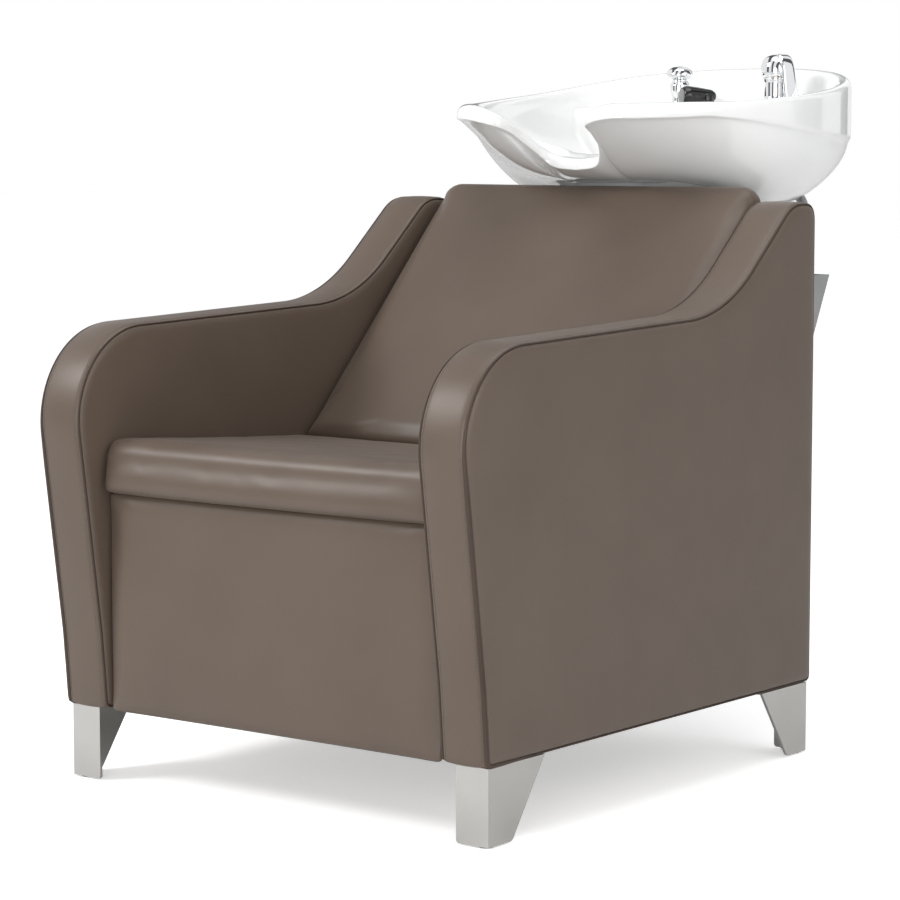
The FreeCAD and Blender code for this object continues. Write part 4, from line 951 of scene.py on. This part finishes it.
def cut_spray_hole(basin):
    """The bore in the deck that the spray's hose runs through."""
    radius, bottom, top = 0.0122, -0.125, 0.020
    cutter = lathe("spray_hole_cutter", [(radius, bottom), (radius, top)], tap_place("spray_holder"))
    face_outwards(cutter)
    apply_modifier(basin, "BOOLEAN", object=cutter, operation="DIFFERENCE", solver="EXACT")
    bpy.data.objects.remove(cutter)


def hollow_height(inside):
    """Raise the rear of the hollow to the taps' deck, and keep the neck clear of the under side."""
    y, z = inside[:, :, 1], inside[:, :, 2]
    neck_floor = 0.766 - 0.10 * smoothstep(0.366, 0.440, y)
    z = (z + neck_floor + np.sqrt((z - neck_floor)**2 + 0.004**2)) / 2
    share = smoothstep(0.578, 0.604, y)
    level = z + (DECK - z) * share
    return np.where(z > DECK, z, level)


# ---------------- taps

def tap_place(node):
    """The point on the deck under the middle of a tap."""
    low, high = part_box(node)
    return Vector(((low.x + high.x) / 2, (low.y + high.y) / 2, DECK))


def make_mixer():
    """Chrome single lever mixer: column, wide rounded turret and a broad lever over its shoulder."""
    place = tap_place("mixer_body")
    body = soft_profile([(0.010, -0.048), (0.011, -0.048), (0.011, 0.0), (0.0245, 0.0), (0.0245, 0.003),
                         (0.0205, 0.008), (0.0190, 0.016), (0.0190, 0.036), (0.0210, 0.0435),
                         (0.010, 0.0435)], 0.003)
    dress(lathe("mixer_body_turned", body, place), CHROME, "basin", "chrome", "mixer_body")
    radius, shoulder, crown = 0.0227, 0.0530, 0.0222
    dome = [(0.010, 0.0446), (0.0210, 0.0446), (0.0224, 0.0460), (radius, 0.0500)]
    dome += [(radius * math.cos(a) ** 0.75, shoulder + crown * math.sin(a) ** 0.9)
             for a in np.radians(np.linspace(4, 86, 14))]
    dome += [(0.0006, 0.0753)]
    dress(lathe("mixer_turret_dome", dome, place), CHROME, "mixer_turret", "chrome", "mixer_dome")
    make_lever(place)


LEVER_WAY = math.radians(70)          # how far the lever is turned from the sitter's side
# the middle of the lever as (distance from the mixer's axis, height above the deck)
LEVER_PATH = [(0.009, 0.0735), (0.0165, 0.0715), (0.0225, 0.0640), (0.0262, 0.0510), (0.0300, 0.0320),
              (0.0352, 0.0090)]


def squared(value, power):
    """A sine or cosine drawn towards its ends, which squares off a round section."""
    return math.copysign(abs(value) ** power, value)


def rounded_end(share):
    """Scale of the lever's section along its length, drawn in at both ends."""
    tip = max(0, (share - 0.94) / 0.06)
    root = max(0, (0.08 - share) / 0.08)
    return math.sqrt(max(0.03, 1 - tip ** 2 - root ** 2))


def make_lever(place):
    """The mixer's lever: a broad bar that leaves the turret's shoulder and drops outside it."""
    ahead = np.array([math.sin(LEVER_WAY), -math.cos(LEVER_WAY), 0])
    across = np.array([math.cos(LEVER_WAY), math.sin(LEVER_WAY), 0])
    path = smooth_line([ahead * reach + UP * height for reach, height in LEVER_PATH], 0.0012)
    forward = np.gradient(path, axis=0)
    sides = 24
    verts = []
    for index, (spot, way) in enumerate(zip(path, forward)):
        normal = np.cross(across, way / np.linalg.norm(way))
        share = index / (len(path) - 1)
        wide = (0.0102 + 0.0022 * share) * rounded_end(share)
        thick = (0.0036 - 0.0008 * share) * rounded_end(share)
        for corner in range(sides):
            angle = 2 * math.pi * corner / sides
            sideways = across * wide * squared(math.cos(angle), 0.6)
            outwards = normal * thick * squared(math.sin(angle), 0.8)
            verts.append(Vector(spot + sideways + outwards) + place)
    faces = grid_faces(len(path), sides) + end_caps(len(path), sides)
    lever = smooth(face_outwards(new_object("mixer_lever_shaped", verts, faces)))
    dress(lever, CHROME, "mixer_handle", "chrome", "mixer_lever")


def make_breaker():
    """Vacuum breaker: a waisted chrome stem under a mushroom cap."""
    place = tap_place("breaker_cap")
    stem = soft_profile([(0.008, -0.042), (0.011, -0.042), (0.011, 0.0), (0.0185, 0.0), (0.0185, 0.004),
                         (0.0120, 0.009), (0.0112, 0.016), (0.0150, 0.024), (0.0150, 0.034),
                         (0.0112, 0.040), (0.0112, 0.0425), (0.008, 0.0425)], 0.003)
    dress(lathe("breaker_stem", stem, place), CHROME, "basin", "chrome", "breaker_body")
    cap = soft_profile([(0.0092, 0.0425), (0.0140, 0.0430), (0.0192, 0.0455), (0.0196, 0.0500),
                        (0.0170, 0.0560), (0.0100, 0.0600), (0.0005, 0.0610)], 0.004)
    dress(lathe("breaker_mushroom_cap", cap, place), CHROME, "basin", "chrome", "breaker_cap")


SPRAY_WAY = math.radians(35)
SPRAY_AXIS = Vector((math.cos(SPRAY_WAY), -math.sin(SPRAY_WAY), 0))   # level, across the head


def make_spray():
    """Black hand spray lying low in its chrome holder with the head towards the sitter's right."""
    place = tap_place("spray_holder")
    ring = soft_profile([(0.0096, -0.022), (0.0118, -0.022), (0.0118, 0.0), (0.0170, 0.0),
                         (0.0168, 0.0020), (0.0140, 0.0040), (0.0096, 0.0040)], 0.0012)
    holder = lathe("spray_holder_ring", ring, place, hollow=True)
    dress(holder, CHROME, "basin", "chrome", "spray_holder")
    grip = soft_profile([(0.001, -0.016), (0.0062, -0.016), (0.0090, -0.010), (0.0090, 0.0044),
                         (0.0128, 0.0048), (0.0136, 0.0110), (0.0120, 0.0190), (0.0075, 0.0235),
                         (0.001, 0.0245)], 0.004)
    handle = lathe("spray_handle_grip", grip, place)
    dress(handle, BLACK_PLASTIC, "hand_spray", "black_plastic", "spray_head")
    head_place = place + Vector((0, 0, 0.017))
    level = Matrix.Rotation(math.radians(90), 4, SPRAY_AXIS)
    shell = soft_profile([(0.001, -0.0165), (0.0060, -0.0150), (0.0095, -0.0090), (0.0112, 0.0020),
                          (0.0134, 0.0160), (0.0148, 0.0270), (0.0138, 0.0345), (0.0108, 0.0368),
                          (0.001, 0.0368)], 0.006)
    head = lathe("spray_head_shell", shell, head_place, level)
    dress(head, BLACK_PLASTIC, "hand_spray", "black_plastic")
    plate = soft_profile([(0.001, 0.0360), (0.0110, 0.0360), (0.0106, 0.0382), (0.001, 0.0388)], 0.0008)
    face = lathe("spray_face_plate", plate, head_place, level)
    dress(face, GREY_PLASTIC, "hand_spray", "pale_plastic", "spray_face")


# ---------------- hoses

def bent_line(points, radius, step):
    """Straight stretches joined by arcs, evenly spaced."""
    corners = [Vector(point) for point in points]
    spots = [corners[0]]
    for before, corner, after in zip(corners, corners[1:], corners[2:]):
        spots += arc_corner(before, corner, after, radius, step)
    spots.append(corners[-1])
    return resample([tuple(spot) for spot in spots], step)


HOSE_FOOT_Y = 0.288                  # where the hoses run down behind the seat
SUPPLY_RADIUS, WASTE_RADIUS = 0.0070, 0.0168


def make_hoses():
    """Supply and waste hoses, laid as bent lines between the chair and the tilting basin."""
    for name, x, top_x in (("supply_hose_hot", 0.108, 0.081), ("supply_hose_cold", 0.142, 0.097)):
        line = bent_line([(top_x, 0.652, 0.813), (top_x, 0.652, 0.766), (x + 0.018, 0.636, 0.722),
                          (x, 0.480, 0.640), (x, HOSE_FOOT_Y, 0.330), (x, HOSE_FOOT_Y, 0.090)],
                         radius=0.036, step=0.004)
        hose = tube(name + "_braided", line, SUPPLY_RADIUS)
        hose.data.materials.append(BRAID)
        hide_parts(name)
        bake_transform(hose)
    line = bent_line([(0, 0.480, 0.6235), (0, 0.480, 0.612), (0, HOSE_FOOT_Y, 0.350),
                      (0, HOSE_FOOT_Y, 0.100)], radius=0.030, step=0.0022)
    rib_height, rib_turn = 0.045, 1.4
    waste = tube("waste_hose_corrugated", line, WASTE_RADIUS, sides=24,
                 ripple=lambda i: 1 + rib_height * math.cos(i * rib_turn))
    waste.data.materials.append(RUBBER)
    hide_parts("waste_hose")
    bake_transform(waste)
    bore, outside, length = 0.0150, 0.0180, 0.040
    profile = soft_profile([(bore, 0.0), (outside, 0.0), (outside, length), (bore, length)], 0.0015)
    cuff = lathe("waste_hose_cuff", profile, Vector((0, HOSE_FOOT_Y, 0.070)), hollow=True)
    dress(cuff, RUBBER, "chair", "rubber")


# ---------------- stage

def make_stage():
    """A wide pale floor that looks a little brighter to the camera than the light on it."""
    far, camera_glow = 30, 0.46
    corners = [(-far, -far, 0), (far, -far, 0), (far, far, 0), (-far, far, 0)]
    floor = new_object("floor", corners, [(0, 1, 2, 3)])
    material, tree, shader = new_material("floor")
    speck = texture(tree, "ShaderNodeTexNoise", 3, Detail=2)
    two_tone(tree, shader, speck, (0.90, 0.90, 0.90), (0.92, 0.92, 0.92))
    shader.inputs["Roughness"].default_value = 0.7
    shader.inputs["Emission Color"].default_value = (1, 1, 1, 1)
    path = tree.nodes.new("ShaderNodeLightPath")
    glow = spread(tree, path.outputs["Is Camera Ray"], 0.0, camera_glow)
    tree.links.new(glow, shader.inputs["Emission Strength"])
    floor.data.materials.append(material)


def make_world():
    """A white studio: plain white to the eye and to soft surfaces, banded for sharp reflections."""
    world = bpy.data.worlds.new("studio")
    world.use_nodes = True
    tree = world.node_tree
    background = tree.nodes["Background"]
    background.inputs["Strength"].default_value = 1.0
    path = tree.nodes.new("ShaderNodeLightPath")
    place = tree.nodes.new("ShaderNodeTexCoord")
    bands = tree.nodes.new("ShaderNodeTexWave")
    bands.inputs["Scale"].default_value = 0.55
    bands.inputs["Distortion"].default_value = 2.0
    tree.links.new(place.outputs["Generated"], bands.inputs["Vector"])
    studio = ramp(tree, bands.outputs["Fac"], [(0.30, (0.10, 0.10, 0.11)), (0.48, (0.95, 0.95, 0.95))])
    seen = mix_color(tree, path.outputs["Is Glossy Ray"], (0.62, 0.62, 0.62), studio)
    seen = mix_color(tree, path.outputs["Is Camera Ray"], seen, (1.0, 1.0, 1.0))
    tree.links.new(seen, background.inputs["Color"])
    bpy.context.scene.world = world
    bpy.context.scene.view_settings.view_transform = "Standard"


def add_light(name, place, target, size, power):
    """A round soft light that looks at a target; size in metres, power in watts."""
    light = bpy.data.lights.new(name, "AREA")
    light.shape = "DISK"
    light.size = size
    light.energy = power
    lamp = bpy.data.objects.new(name, light)
    bpy.context.scene.collection.objects.link(lamp)
    lamp.location = place
    lamp.rotation_euler = (Vector(target) - Vector(place)).to_track_quat("-Z", "Y").to_euler()


def make_lights():
    """Key from the sitter's right, and weaker lights above, beside and in front."""
    add_light("key", (-2.2, -2.6, 2.9), (0, 0, 0.45), size=1.6, power=92)
    add_light("top", (0.3, 0.2, 3.2), (0, 0.1, 0.4), size=2.2, power=30)
    add_light("fill", (3.4, -0.8, 1.8), (0, 0, 0.5), size=2.0, power=25)
    add_light("front", (1.6, -3.2, 0.9), (0, 0, 0.5), size=1.6, power=42)


def make_camera():
    """A long lens that looks from the front, to the sitter's left."""
    camera = bpy.data.cameras.new("camera")
    camera.lens = 119.8
    camera.sensor_width = 36
    lens = bpy.data.objects.new("camera", camera)
    bpy.context.scene.collection.objects.link(lens)
    azimuth, pitch = math.radians(37.65), math.radians(5.91)
    level = math.cos(pitch)
    ahead = Vector((-math.sin(azimuth) * level, math.cos(azimuth) * level, -math.sin(pitch)))
    lens.location = (2.3709, -3.0663, 0.8157)
    lens.rotation_euler = ahead.to_track_quat("-Z", "Y").to_euler()
    bpy.context.scene.camera = lens


# ---------------- build

paint_cad_nodes()
for arm_side, arm_word in ((1, "left"), (-1, "right")):
    make_arm(arm_side, arm_word)
make_seat_cushion()
make_back_cushion()
make_front_panel()
make_basin()
make_mixer()
make_breaker()
make_spray()
make_hoses()
make_stage()
make_world()
make_lights()
make_camera()
